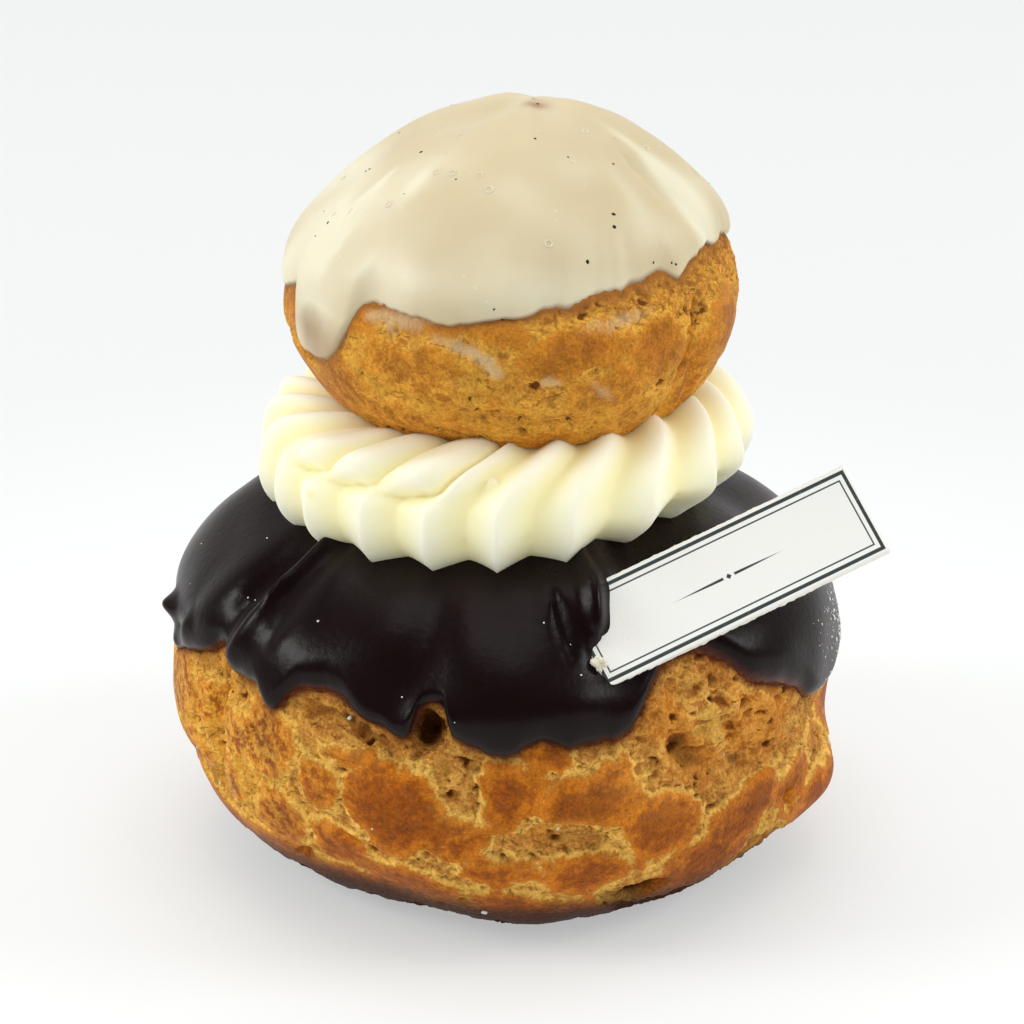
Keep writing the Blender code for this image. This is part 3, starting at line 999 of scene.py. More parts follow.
@dataclass(frozen=True)
class GrainTones:
    """The colours of a kind of small grain."""

    light: Colour
    dark: Colour
    gloss: float

    def make(self, name: str, effects: Effects) -> Material:
        """Return the grain's material."""
        finish = Finish(name, Roughness=self.gloss)
        broad, fine = finish.drift(effects, 900.0, 5000.0)
        finish.give(Base_Color=finish.tone(broad.ramp(-0.2, 0.2), self.light, self.dark),
                    Roughness=fine * 0.2 + self.gloss)
        return finish.material


@dataclass(frozen=True)
class Hem:
    """The lower edge of an icing cap, in millimetres above the pastry's base."""

    level: float
    tilt: float
    lobes: tuple[Lobe, ...]
    fringe: float
    seed: int

    def at(self, turn: Array) -> Array:
        """Return the hem's height at some turns in degrees."""
        angle = np.radians(turn)
        drop = sum(lobe.at(turn) for lobe in self.lobes)
        ring = HEM_RING * np.stack([np.sin(angle), np.cos(angle), np.zeros_like(angle)], axis=-1)
        fine = waves(ring, 6.5, self.seed) * self.fringe
        fine = fine + waves(ring, 2.2, self.seed + 1) * self.fringe * 0.45
        return self.level + self.tilt * np.sin(angle) - drop + fine


CHOCOLATE_HEM = Hem(level=28.0, tilt=0.0, fringe=0.22, seed=11, lobes=rows(
    Lobe, (-78, 9, 2.8), (-60, 3, -1.9), (-41.6, 2.6, 1.6), (-33, 6.5, -1.4, 4), (-16.5, 3.2, 1.5),
    (-11.9, 2.9, -2.6, 6), (-1, 7, 2.6), (15.5, 8, 2.2, 4), (35.5, 9.8, -4.5, 3.2), (72, 15, 6.6),
    (104, 9, -1.5), (126, 9, 2.6), (176, 10, 1.8), (202, 8, -1.9), (228, 9, 2.4),
))
VANILLA_HEM = Hem(level=68.2, tilt=3.4, fringe=0.16, seed=23, lobes=rows(
    Lobe, (-55.5, 13.2, 7.4, 5), (-86, 14, 3.6), (-15, 14, 0.9), (58, 38, -1.6), (52, 4, 1.1),
    (112, 10, 2.8), (160, 12, 1.6), (205, 12, -1.2), (240, 12, 3),
))
LARGE_PLATES = rows(
    Plate, (-18, 18.6, 5.2, 5.2, -12), (-10.5, 16, 3.6, 2.5), (-30, 12.3, 2.9, 2.5, -15),
    (-32, 19.5, 2.1, 1.8), (-24, 24.6, 1.9, 0.9), (-43, 22.6, 3.2, 4.4), (-42, 13.5, 3, 3.6),
    (1, 21, 2.9, 3.6), (15.6, 20.2, 5.6, 3.3, 18), (7.5, 25.6, 2.6, 1.5), (28, 15.7, 4.2, 3.4, 15),
    (46, 13.2, 6.4, 3, 30), (0, 11.6, 3.4, 1.6), (14, 10.2, 5.2, 2.5, 6), (36, 8.6, 7, 3, 12),
    (62, 13.5, 4.5, 2.2, 20), (74, 9.8, 6, 2.2), (-17, 8.2, 6, 1.8, -6), (2, 5, 9, 2.6),
    (-28, 5, 9, 2.6), (-50, 7, 7, 2.6),
)
LARGE_FOLDS = rows(
    Lump, (-12.8, 27.6, 1.55, 1.9, -3.4), (-9.5, 23.6, 1.1, 1.3, -0.9), (-8.5, 20.6, 1, 0.6, -0.9),
    (31.2, 24.2, 1.9, 1.2, -1.3), (36.5, 24.6, 1.7, 1.1, -1.1), (45, 19.4, 2.2, 1.3, -1.3),
    (31.7, 29.8, 1.6, 1.6, -0.8), (40.2, 29.6, 0.9, 0.8, -1.5), (41.9, 24.4, 0.9, 0.7, -1.2),
    (60.1, 11.7, 0.8, 0.9, -1.5), (36.4, 17, 0.7, 0.6, -1.1), (38.6, 17.9, 1, 0.6, -1.1),
    (0.2, 16.2, 1.6, 0.55, -0.6), (9.5, 16.4, 3.4, 1.4, -0.7), (-46.7, 22.8, 0.45, 0.9, -1),
    (-41, 8.6, 1.2, 0.8, -1.2),
) + rows(
    Fold, ((-37, 28.2), (-27, 27.4), 1.1, -1.3), ((-28, 27.6), (-17.5, 24.8), 1.1, -1.4),
    ((-33, 25.6), (-19, 23.4), 0.7, 0.5), ((29.5, 23), (38, 20.2), 1.6, -1.3),
    ((22.6, 6.6), (30, 7.8), 1, -2.6), ((-59.6, 28.5), (-57.4, 21), 0.8, -1.6),
    ((-57.4, 21.5), (-59.6, 13), 0.8, -1.5), ((-62.5, 26), (-62, 17), 0.8, 0.7),
    ((25, 27.5), (27.5, 21.5), 0.8, 0.6), ((28.5, 20.4), (44, 16.6), 0.9, 0.7),
    ((41, 27.5), (46, 21), 0.8, 0.6), ((48, 26.5), (57, 19), 0.7, 0.45),
    ((46, 16.6), (68, 18.6), 0.6, -0.9), ((-1, 28), (-6, 22.5), 0.6, -0.5),
    ((-18, 11.2), (-34, 16.2), 0.6, -0.5), ((4, 13.6), (19, 14.9), 0.6, -0.45),
)
LARGE_TEARS = rows(
    Lump, (46, 24, 13.5, 5.2, 1.25), (33, 27.5, 4.5, 4, 0.9), (-33, 28, 4.2, 1.3, 0.9),
    (-22.5, 26, 4.2, 1.3, 0.9), (-8.5, 23, 1.6, 4, 0.8), (8, 16.2, 4, 1.3, 0.6),
    (150, 24, 6, 3, 0.9), (212, 25, 5, 2.5, 0.9),
)
SMALL_PLATES = rows(
    Plate, (-40, 64.5, 3.0, 2.0, -20), (-30, 60.5, 4.2, 2.2, -25), (-17, 58.5, 3.0, 1.6, -15),
    (-12, 66.3, 4.4, 0.8), (-14, 62.2, 3.2, 1.3, 10), (3, 58.4, 2.6, 1.2, -8),
    (10, 63.0, 3.6, 1.6, 14), (21, 66.0, 4.4, 1.8, 10), (28, 61.2, 4.2, 2.2, 24),
    (42, 65.5, 3.2, 2.8), (38, 57.5, 3.6, 1.5, 20), (72, 66.0, 3.0, 2.6),
    (-52, 58.5, 3.6, 2.0, -20), (-10, 55.3, 4.2, 1.3, -6), (16, 55.0, 4.0, 1.2, 8),
    (60, 60.0, 2.4, 3.4), (-28, 55.2, 3.8, 1.3, -12),
)
SMALL_FOLDS = rows(
    Lump, (6, 61.5, 1.7, 1.2, -0.6), (0, 57.5, 1.5, 0.8, -0.5), (-10, 56.2, 1.3, 0.7, -0.5),
    (18, 56.6, 1, 0.6, -0.5),
) + rows(
    Fold, ((56, 69), (53.5, 60.5), 0.5, -1.6), ((58, 63), (66, 56), 0.7, -0.6),
    ((-26, 63.6), (-8, 62.4), 0.6, 0.35), ((24, 62), (30, 56), 0.6, -0.4),
)
LARGE_GOLD = rows(
    Lump, (-52, 20, 13, 10, 1), (-78, 18, 10, 12, 0.6), (170, 16, 14, 9, 0.6),
    (42, 11, 20, 8, -0.75), (-8, 14, 16, 8, -0.25),
)
SMALL_GOLD = rows(
    Lump, (45, 58, 12, 5, 0.6), (-15, 57, 14, 5, 0.8),
)
SMALL_GLAZE = rows(
    Fold, ((-19, 65.2), (-3, 63.6), 0.8, 0.95), ((-6, 64), (1, 61.6), 0.9, 0.9),
    ((10, 61.6), (16, 62.2), 0.8, 0.8), ((22, 63), (30, 60.5), 0.7, 0.6),
    ((-20, 66.4), (-38, 65), 1.2, 0.9), ((18, 67.8), (40, 69.4), 0.8, 0.7),
)
SMALL_TEARS = rows(
    Lump, (5, 61, 3, 1.6, 0.8), (0, 56.5, 6, 1.6, 0.7), (27, 58, 2.4, 2.6, 0.6),
    (-70, 64, 2, 2, 0.6),
)


@dataclass
class Piece:
    """A separate piece of the pastry, which hangs on the frame once it is made."""

    name: str
    node: str | None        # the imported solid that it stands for, if it stands for one
    slot: str               # the record's material slot

    def make(self, effects: Effects) -> Item:
        """Return the piece's dressed body."""
        raise NotImplementedError

    def build(self, effects: Effects) -> Item:
        """Make the piece and hang it on the frame.

        Args:
            effects: the shared effects.

        Returns:
            The finished piece.
        """
        piece = self.make(effects)
        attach(piece, BODY)
        if self.node is not None:
            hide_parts(self.node)
        log.info("%s: %d faces", piece.name, len(piece.data.polygons))
        return piece


@dataclass
class Crust(Piece):
    """The baked crust of a bun: its whole closed body, raised into plates, cracks and pits."""

    bun: Bun
    hem: Hem
    plates: tuple[Plate, ...]
    folds: Swells
    tears: tuple[Lump, ...]
    tones: CrustTones
    sides: int
    fine_rows: int
    relief: float
    # How far up the foot darkens with bake and painted contact shadow.
    bottom_bake: float
    wild_from: float
    wild_to: float
    seed: int
    golden: tuple[Lump, ...]
    glazed: Swells = ()

    def wild_plates(self) -> list[Plate]:
        """Return plates for the bun's unseen sides, in uneven rows."""
        random = np.random.default_rng(self.seed)
        plates = []
        low, high = self.bun.base + WILD_FOOT, self.hem.level - WILD_TOP
        count = max(2, round((high - low) / WILD_ROW))
        for row in range(count):
            height = low + (high - low) * (row + 0.35) / count
            turn = self.wild_from + random.uniform(0.0, 6.0)
            while turn < self.wild_to:
                half = random.uniform(*WILD_HALF)
                step = math.degrees((half * 2.0 + random.uniform(*WILD_GAP)) / self.bun.radius)
                plates.append(Plate(
                    turn + step / 2.0, height + random.uniform(-1.2, 1.2), half,
                    random.uniform(*WILD_RISE), random.uniform(-WILD_SLANT, WILD_SLANT)))
                turn += step
        return plates

    def rings(self) -> Array:
        """Return the polar angles of the crust's rings, close together where it is seen."""
        top = float(self.bun.polar_at(np.array(self.hem.level + COVERED)))
        edge = float(self.bun.polar_at(np.array(self.bun.base + 0.02)))
        dense = np.linspace(top, edge, PROFILE_STEPS)
        radius, height = self.bun.profile(dense)
        run = np.concatenate([[0.0], np.cumsum(np.hypot(np.diff(radius), np.diff(height)))])
        seen = np.interp(np.linspace(0.0, run[-1], self.fine_rows), run, dense)
        hidden = np.linspace(0.0, top, HIDDEN_ROWS)[:-1]
        foot = edge + (math.pi - edge) * np.linspace(0.0, 1.0, FOOT_ROWS)[1:] ** 1.6
        return np.concatenate([hidden, seen, foot])

    def base_form(self) -> Item:
        """Return the crust's smooth closed body with the attributes that its pattern follows."""
        share = np.arange(self.sides)[None, :] / self.sides
        turn = 360.0 * share - CROWDING * np.sin(2.0 * math.pi * share)
        polar = self.rings()[:, None]
        height = self.bun.profile(polar)[1] + np.zeros_like(turn)
        size = self.bun.radius
        swell = sum(fold.at(turn, height, size) for fold in self.folds)
        places = self.bun.place(turn, polar, swell)
        form = closed_form(self.name, places)
        plate = np.full(height.shape, BARE)
        for patch in list(self.plates) + self.wild_plates():
            plate = np.maximum(plate, patch.inside(turn, height, size))
        tears = [np.clip(tear.at(turn, height, size), 0.0, 2.0) for tear in self.tears]
        for tear in tears:
            plate = plate - tear * TEAR_CUT
        stain = np.exp(-np.clip(self.hem.at(turn) - height, 0.0, 9.0) / 0.5)
        # Painted shade in the furrows and hollows, darkened like the foot.
        hollow = np.clip(-swell - 0.6, 0.0, 1.2) / 1.2
        # Darker towards the base, more at the left front: partly bake, partly a painted contact
        # shadow.
        reach = self.bottom_bake * (1.0 + 0.35 * np.exp(-(turn_between(-50.0, turn) / 40.0) ** 2))
        bake = 1.0 - ease((height - self.bun.base - 1.6) / reach)
        gold, glaze = (
            sum((patch.at(turn, height, size) for patch in patches), np.zeros_like(height))
            for patches in (self.golden, self.glazed))
        mark_rings(form, rest=places * MM, plate=plate, torn=np.clip(sum(tears), 0.0, 1.0),
                   bake=bake + hollow * 0.9 + np.clip(-gold, 0.0, 1.0) * 0.5, stain=stain,
                   gold=np.clip(gold, 0.0, 1.0), glaze=np.clip(glaze, 0.0, 1.0))
        return form

    def relief_tree(self) -> GrowthTree:
        """Return the tree that raises the crust's plates and sinks its cracks and pits."""
        growth = GrowthTree(self.name + " relief", {"Depth": 1.0})
        tree = growth.tree
        found = lay_crust_pattern(tree, growth.vector("rest"), growth.attribute("plate"),
                                  growth.attribute("torn"))
        offset = scaled(tree, tree.nodes.new("GeometryNodeInputNormal"),
                        found["Relief"] * growth.given("Depth") * MM)
        growth.finish(lay(tree, "GeometryNodeSetPosition", Offset=offset,
                          Geometry=growth.start.outputs["Geometry"]))
        return growth

    def make(self, effects: Effects) -> Item:
        """Return the crust, raised from its smooth body and flat where it stands."""
        material = self.tones.make(self.name + " crust", effects)
        crust = self.relief_tree().grow(self.base_form(), self.name, material, Depth=self.relief)
        places = vertex_places(crust)
        places[:, 2] = np.maximum(places[:, 2], self.bun.base)
        move_vertices(crust, places)
        crust.data.shade_smooth()
        return crust


CHOCOLATE_SWELLS = rows(
    Lump, (2.7, 32, 7, 4.6, 1.5), (-3, 29.6, 3.6, 2.6, 0.5), (-14, 35, 3.2, 5, -0.7),
    (-12.8, 28.6, 2.2, 2.2, 0.9), (15, 38, 4.6, 3.3, 1.7), (22.5, 39, 2.6, 1.5, 1.5),
    (-82, 28.6, 2, 1, 1.6), (-75.5, 27, 1.1, 1, -1.3), (-70.5, 29, 1.2, 1.6, 0.5),
    (18, 34.2, 1.5, 1.4, -0.8), (-84, 26.5, 8, 3, -0.7), (-96, 42.6, 11, 3.6, 2.2),
    (-90, 44, 13, 3.2, 1.3), (94, 40, 10, 5, -0.7), (-30, 33, 8, 4.5, 0.5), (-5, 41, 8, 2.4, 0.4),
    (12, 30.5, 3, 1.8, 0.5), (22, 33, 4, 2, -0.75), (84, 27, 9, 5, -0.5),
) + rows(
    Fold, ((19.6, 40.4), (17.2, 35.6), 1.4, 1.7), ((19.5, 41.2), (30.5, 43), 1.8, 1.5),
    ((11.5, 34.5), (10.5, 38), 1.1, -0.8), ((-48.5, 43.2), (-49.4, 36), 1.5, 1.2),
    ((-49.4, 36.6), (-54, 28.8), 1.8, 1.5), ((-43.5, 42), (-44.5, 33), 2.2, -0.7),
    ((-54.5, 42.2), (-57.5, 34), 2.6, -0.8), ((-17, 42.2), (14, 41.2), 0.9, 0.55),
    ((-58, 38), (-68, 30), 3.5, 0.5),
)
VANILLA_SWELLS = rows(
    Lump, (-58, 73, 4, 3, 0.6), (86, 76.5, 6, 4, 0.9), (95, 80, 10, 4, 0.5),
    (-88, 76.5, 10, 4, -0.5), (-48, 68.5, 3, 1.5, 0.3),
) + rows(
    Fold, ((60, 79.5), (76, 72), 1.7, -0.7), ((-62, 76.5), (-57, 71), 0.9, 0.4),
)
VANILLA_THIN = rows(
    Lump, (-54, 61.4, 9, 5.4, 1),
)
CHOCOLATE_FEATHERS = rows(
    Lobe, (38, 14, 1, 4), (58, 9, 0.8), (18, 6, 0.6), (-30, 8, 0.6), (150, 16, 0.8), (250, 16, 0.6),
)
VANILLA_FEATHERS = rows(
    Lobe, (30, 26, 1, 4), (-36, 8, 0.8), (170, 30, 0.8, 4),
)
VANILLA_POOLS = rows(
    Lump, (-44, 77.2, 1.6, 1.3, 0.6), (45, 78, 2, 2, 0.4),
) + rows(
    Fold, ((70, 80.5), (72, 71), 2.4, 1.3), ((-63, 77), (-57, 70), 1.3, 1.1),
    ((-72, 73), (-58, 67.5), 2.6, 0.9), ((-40, 70), (40, 71.5), 2.4, 0.45),
    ((150, 78), (165, 68), 2.5, 1), ((225, 76), (238, 67), 2.5, 1),
)


@dataclass
class IcingCap(Piece):
    """A poured cap of fondant: a thin closed shell with a soft hem."""

    bun: Bun
    hem: Hem
    swells: Swells
    wall: float
    lip: float
    sink: float
    sides: int
    rows: int
    ripple: float
    seed: int
    thin_places: tuple[Lump, ...] = ()
    feathered: tuple[Lobe, ...] = ()

    def rings(self) -> tuple[Array, Array, Array]:
        """Return the turns and the polar angles of the outer and the inner rings."""
        turn = (np.arange(self.sides) * 360.0 / self.sides)[None, :]
        foot = self.bun.polar_at(self.hem.at(turn))
        near = LIP_REACH / self.bun.radius
        upper = (foot - near) * np.linspace(0.0, 1.0, self.rows)[:-1, None]
        lower = foot - near * (1.0 - np.linspace(0.0, 1.0, LIP_ROWS)[:, None] ** 0.8)
        outer = np.concatenate([upper, lower])
        inner = foot * np.linspace(1.0, 0.0, LINING_ROWS + 1)[1:, None]
        return turn, outer, inner

    def wall_at(self, turn: Array, height: Array, places: Array) -> Array:
        """Return the icing's thickness at some places, in millimetres."""
        size = self.bun.radius
        wall = self.wall + sum(swell.at(turn, height, size) for swell in self.swells)
        wall = wall + waves(places, 15.0, self.seed) * self.ripple
        wall = wall + waves(places, 6.5, self.seed + 1) * self.ripple * 0.32
        for place in self.thin_places:
            wall = wall * (1.0 - np.clip(place.at(turn, height, size), 0.0, 0.9) ** 2)
        return np.maximum(wall, THINNEST_ICING)

    def feather_at(self, turn: Array) -> Array:
        """Return how thin and soft the hem is at some turns, from 0 to 1."""
        return np.clip(sum((lobe.at(turn) for lobe in self.feathered), np.zeros_like(turn)),
                       0.0, 1.0)

    def form(self) -> tuple[Item, Array, Array, Array]:
        """Return the cap's body, its turns and heights, and its way to the hem."""
        turn, outer, inner = self.rings()
        height = self.bun.profile(outer)[1]
        base = self.bun.place(turn, outer)
        steps = np.linalg.norm(np.diff(base, axis=0), axis=-1)
        way = np.concatenate([np.cumsum(steps[::-1], axis=0)[::-1], np.zeros((1, self.sides))])
        wall = self.wall_at(turn, height, base)
        feather = self.feather_at(turn)
        lip = self.lip * np.clip(wall / self.wall, 0.5, 1.6) * (1.0 + 1.3 * feather)
        share = 1.0 - np.clip(way / lip, 0.0, 1.0)
        rounding = np.clip(1.0 - share ** 2.2, 0.0, 1.0) ** (0.5 + 0.4 * feather)
        lift = (wall + self.sink) * rounding - self.sink
        skin = self.bun.place(turn, outer, lift)
        lining = self.bun.place(turn, inner, -self.sink * np.ones_like(inner))
        item = closed_form(self.name, np.concatenate([skin, lining]))
        return item, turn + np.zeros_like(height), height, way

    def spread(self, item: Item, **values: Array) -> None:
        """Store the outer rings' values on the cap, with the hem's values on its lining."""
        for name, rings in values.items():
            lining = np.repeat(rings[-1:], LINING_ROWS, axis=0)
            mark(item, name, ring_values(np.concatenate([rings, lining])))


@dataclass
class ChocolateCap(IcingCap):
    """The large bun's cap of dark chocolate fondant."""

    tones: ChocolateTones = field(default_factory=ChocolateTones)

    def make(self, effects: Effects) -> Item:
        """Return the cap, thin and red at its hem and dusted at the right."""
        item, turn, height, way = self.form()
        places = self.bun.place(turn, self.bun.polar_at(height))
        blotch = waves(places, 7.0, self.seed + 5)
        feather = self.feather_at(turn)
        film = way / (1.25 + 0.55 * blotch + 2.4 * feather)
        dust = 0.42 * np.exp(-(turn_between(82.0, turn) / 10.0) ** 2 - ((height - 25.5) / 5.0) ** 2)
        dust = dust + 0.0035
        self.spread(item, film=np.clip(film, 0.0, 3.0), dust=dust)
        item.data.materials.append(self.tones.make("dark chocolate fondant", effects))
        return item


@dataclass
class VanillaCap(IcingCap):
    """The small bun's cap of vanilla fondant, with a scorched crown and whiter pools."""

    pools: Swells = ()
    tones: VanillaTones = field(default_factory=VanillaTones)

    def make(self, effects: Effects) -> Item:
        """Return the cap, with its film, its pools and its scorched crown."""
        item, turn, height, way = self.form()
        places = self.bun.place(turn, self.bun.polar_at(height))
        size = self.bun.radius
        pool = 0.12 + sum(spot.at(turn, height, size) for spot in self.pools)
        pool = pool + waves(places, 9.0, self.seed + 5) * 0.16
        # The left side, below the crown, is made whiter too.
        left = ease((-np.sin(np.radians(turn)) - 0.35) * 1.6)
        pool = pool + 0.55 * left * ease((80.0 - height) / 5.0)
        thin = sum(np.clip(spot.at(turn, height, size), 0.0, 1.0) for spot in self.thin_places)
        thin = np.clip(thin, 0.0, 1.0)
        feather = self.feather_at(turn)
        film = np.maximum(way * (0.8 - 0.35 * feather), 0.02)
        film = film ** (1.0 - thin) * (0.27 * np.clip(way * 1.2, 0.1, 1.0)) ** thin
        crown = self.bun.place(np.array([20.0]), np.array([0.10]))[0]
        scorch = 0.85 * np.exp(-np.linalg.norm((places - crown) * (0.8, 1.0, 1.0), axis=-1) ** 2)
        self.spread(item, film=np.clip(film, 0.0, 3.0), pool=pool, scorch=scorch)
        item.data.materials.append(self.tones.make("glossy vanilla fondant", effects))
        return item


@dataclass(frozen=True)
class Spot:
    """A place for a grain or a pit: its turn, its height and its size in millimetres."""

    turn: float
    height: float
    size: float


class Surface:
    """The outer skin of a finished piece, to set grains on."""

    def __init__(self, piece: Item) -> None:
        """Read the piece's mesh."""
        mesh = piece.data
        self.skin = BVHTree.FromPolygons([vertex.co / MM for vertex in mesh.vertices],
                                         [tuple(polygon.vertices) for polygon in mesh.polygons])

    def under(self, turn: float, height: float, middle: float = 0.0) -> tuple[Array, Array]:
        """Return the place and the normal where a level ray from outside meets the skin."""
        angle = math.radians(turn)
        way = Vector((math.sin(angle), -math.cos(angle), 0.0))
        start = way * RAY_START + Vector((middle, 0.0, height))
        place, normal, _, _ = self.skin.ray_cast(start, -way)
        if place is None:
            place, normal, _, _ = self.skin.find_nearest(start)
        if normal.dot(way) < 0.0:
            normal = -normal
        return np.array(place), np.array(normal)

    def spots(self, spots: tuple[Spot, ...], sink: float) -> tuple[Array, Array, Array]:
        """Return places, normals and sizes for some spots, sunk by a share of their size."""
        places, normals, sizes = [], [], []
        for spot in spots:
            place, normal = self.under(spot.turn, spot.height)
            places.append(place - normal * spot.size * sink)
            normals.append(normal)
            sizes.append(spot.size)
        return np.array(places), np.array(normals), np.array(sizes)


@dataclass
class Collar(Piece):
    """A ring of piped cream whose ridges lean to the right as they climb."""

    name: str = "piped_cream"
    node: str | None = "cream_collar"
    slot: str = "cream"
    radius: float = 20.0
    height: float = 46.4
    rope: float = 6.2
    depth: float = 1.45
    lean: float = 20.0
    steps: int = 24
    profile: int = 80
    front_crests: tuple[float, ...] = (
        -95.0, -79.0, -64.0, -50.5, -35.0, -17.0, -1.4, 15.0, 36.5, 55.5, 74.0, 93.0)
    back_crests: int = 10
    pits: tuple[Spot, ...] = rows(
        Spot, (-49.5, 46.6, 0.55), (-9.5, 44.4, 0.55), (5.6, 45.0, 0.5), (47.0, 46.4, 0.6),
        (46.5, 44.2, 0.6), (57.0, 47.6, 0.4), (66.0, 47.4, 0.4), (-86.0, 47.0, 0.5),
        (150.0, 46.0, 0.6), (214.0, 47.0, 0.5))
    pit_depth: float = 0.45     # as a share of the pit's size
    tips: tuple[tuple[Spot, float], ...] = (
        (Spot(-3.0, 50.4, 0.42), 1.3), (Spot(158.0, 50.4, 0.5), 1.0))
    tones: CreamTones = field(default_factory=CreamTones)

    def crests(self) -> Array:
        """Return the turns of the ridges' feet, once round and with the first again at the end."""
        first, last = self.front_crests[0] + 360.0, self.front_crests[-1]
        step = (first - last) / (self.back_crests + 1)
        back = [last + step * (index + 1) for index in range(self.back_crests)]
        return np.array([*self.front_crests, *back, first])

    def carrier(self) -> Item:
        """Return the closed path that the rope follows, which knows its ridges and its turns."""
        crests = self.crests()
        count = (len(crests) - 1) * self.steps
        ridge = np.arange(count) / self.steps
        turn = np.interp(ridge, np.arange(len(crests)), crests)
        angle = np.radians(turn)
        points = np.stack([np.sin(angle), -np.cos(angle), np.zeros(count)], axis=-1)
        links = [(index, (index + 1) % count) for index in range(count)]
        path = add_mesh("collar path", points * self.radius, edges=links)
        mark(path, "ridge", ridge)
        mark(path, "turn", turn)
        return path

    def tree(self) -> GrowthTree:
        """Return the tree that sweeps the rope round the ring and presses its ridges."""
        growth = GrowthTree("piped collar", {
            "Ridges": len(self.crests()) - 1, "Profile": self.profile, "Radius": self.radius,
            "Height": self.height, "Rope": self.rope, "Depth": self.depth, "Lean": self.lean,
            "Seed": 7})
        tree = growth.tree
        path = lay(tree, "GeometryNodeMeshToCurve", Mesh=growth.start.outputs["Geometry"])
        circle = lay(tree, "GeometryNodeCurvePrimitiveCircle", Resolution=growth.given("Profile"),
                     Radius=growth.given("Rope") * MM)
        index = Field(tree, tree.nodes.new("GeometryNodeInputIndex").outputs[0])
        section = growth.store(circle, "side", index / growth.given("Profile"))
        swept = lay(tree, "GeometryNodeCurveToMesh", Curve=path, Profile_Curve=section)
        place, valley_shade = self._press(growth)
        moved = lay(tree, "GeometryNodeSetPosition", Geometry=swept, Position=place)
        # The depth in the valleys is kept for the cream's painted shade there.
        kept = growth.store(moved, "valley_shade", valley_shade)
        growth.finish(lay(tree, "GeometryNodeSetShadeSmooth", Geometry=kept))
        return growth

    def _press(self, growth: GrowthTree) -> tuple[Socket, Field]:
        """Work out each point's place on the ridged rope, and how deep between ridges it lies, for
        painted shade.
        """
        tree = growth.tree
        plain, side = growth.attribute("turn"), growth.attribute("side")
        climb = side * (2.0 * math.pi)
        up, out = climb.sine(), climb.cosine()
        # Degrees round the rope's section: 0 looks outwards, 90 up, and the inner half is past 90.
        level = up.direction(out) * (180.0 / math.pi)
        rise = level.ramp(8.0, 115.0)
        # On the left the rope's upper half was piped as a second tier, half a ridge out of step.
        tiers = self._bell_round(plain, -40.0, 24.0)
        double = tiers.ramp(0.25, 0.5)
        upper = level.ramp(28.0, 36.0) * double
        ridge = growth.attribute("ridge") - upper * 0.5
        number = (ridge + 0.5).floor()
        phase = (ridge + 0.5).fraction()
        crest = rise.mix(0.5, 0.64)
        near = (phase / crest).lesser((1.0 - phase) / (1.0 - crest))
        # The ridges' own chances fade out towards the valleys, where neighbours join.
        chance = (self._chance(growth, number, 0) - 0.5) * near
        depth_chance = (self._chance(growth, number, 1) - 0.5) * near
        tongue = near * (2.0 - near)
        rounded = near * near * (3.0 - near * 2.0)
        swell = level.ramp(0.0, 50.0).mix(near ** 1.25, double.mix(rounded, tongue))
        visible = level.ramp(-125.0, -80.0) * level.ramp(150.0, 95.0)
        right = self._bell_round(plain, 48.0, 44.0)
        depth = growth.given("Depth") * (0.78 + right * 0.3 - tiers * 0.12)
        low = level.ramp(5.0, -45.0)
        reach = growth.given("Rope") - depth * (1.0 - swell) * visible + depth_chance * 0.5
        reach = reach + visible * level.bell(-30.0, 34.0) * (near ** 3.0) * 0.3
        reach = reach - double * level.bell(29.0, 6.0) * 0.75
        reach = reach + upper * level.bell(50.0, 16.0) * swell
        lean = growth.given("Lean") * rise * (1.0 - right * 0.2 - tiers * 0.25)
        turn = plain + lean + chance * 2.0
        angle = turn * (math.pi / 180.0)
        inward = self._bell_round(plain, 56.0, 32.0) * low
        wide = growth.given("Radius") + reach * out * 1.12 - inward * 2.2
        left = self._bell_round(plain, -92.0, 34.0) * level.ramp(0.0, 60.0)
        wide = wide + left * 0.7
        tall = growth.given("Height") + left * 1.1 + angle.sine() * 0.9 + inward * 0.9
        tall = tall + tiers * rise * 0.7 + reach * up * (1.1 + chance * 0.1)
        place = lay(tree, "ShaderNodeCombineXYZ")
        feed(tree, place.inputs[0], angle.sine() * wide * MM)
        feed(tree, place.inputs[1], angle.cosine() * wide * -MM)
        feed(tree, place.inputs[2], tall * MM)
        # Painted shade in the crease under the upper tier, added to the valley depth.
        crease_shade = double * level.bell(29.0, 7.0) * 0.5
        return place.outputs[0], ((1.0 - swell) + crease_shade) * visible

    @staticmethod
    def _bell_round(turn: Field, middle: float, half: float) -> Field:
        """Return a bell curve round a turn in degrees, which may run on past a full circle."""
        return ((turn - middle + 180.0).wrapped(360.0) - 180.0).bell(0.0, half)

    @staticmethod
    def _chance(growth: GrowthTree, number: Field, draw: int) -> Field:
        """Return a random number for each ridge."""
        wrapped = number.wrapped(growth.given("Ridges"))
        node = lay(growth.tree, "FunctionNodeRandomValue", {"data_type": "FLOAT"})
        feed(growth.tree, node.inputs["ID"], wrapped + draw * 100.0)
        feed(growth.tree, node.inputs["Seed"], growth.given("Seed"))
        return Field(growth.tree, next(out for out in node.outputs if out.enabled))

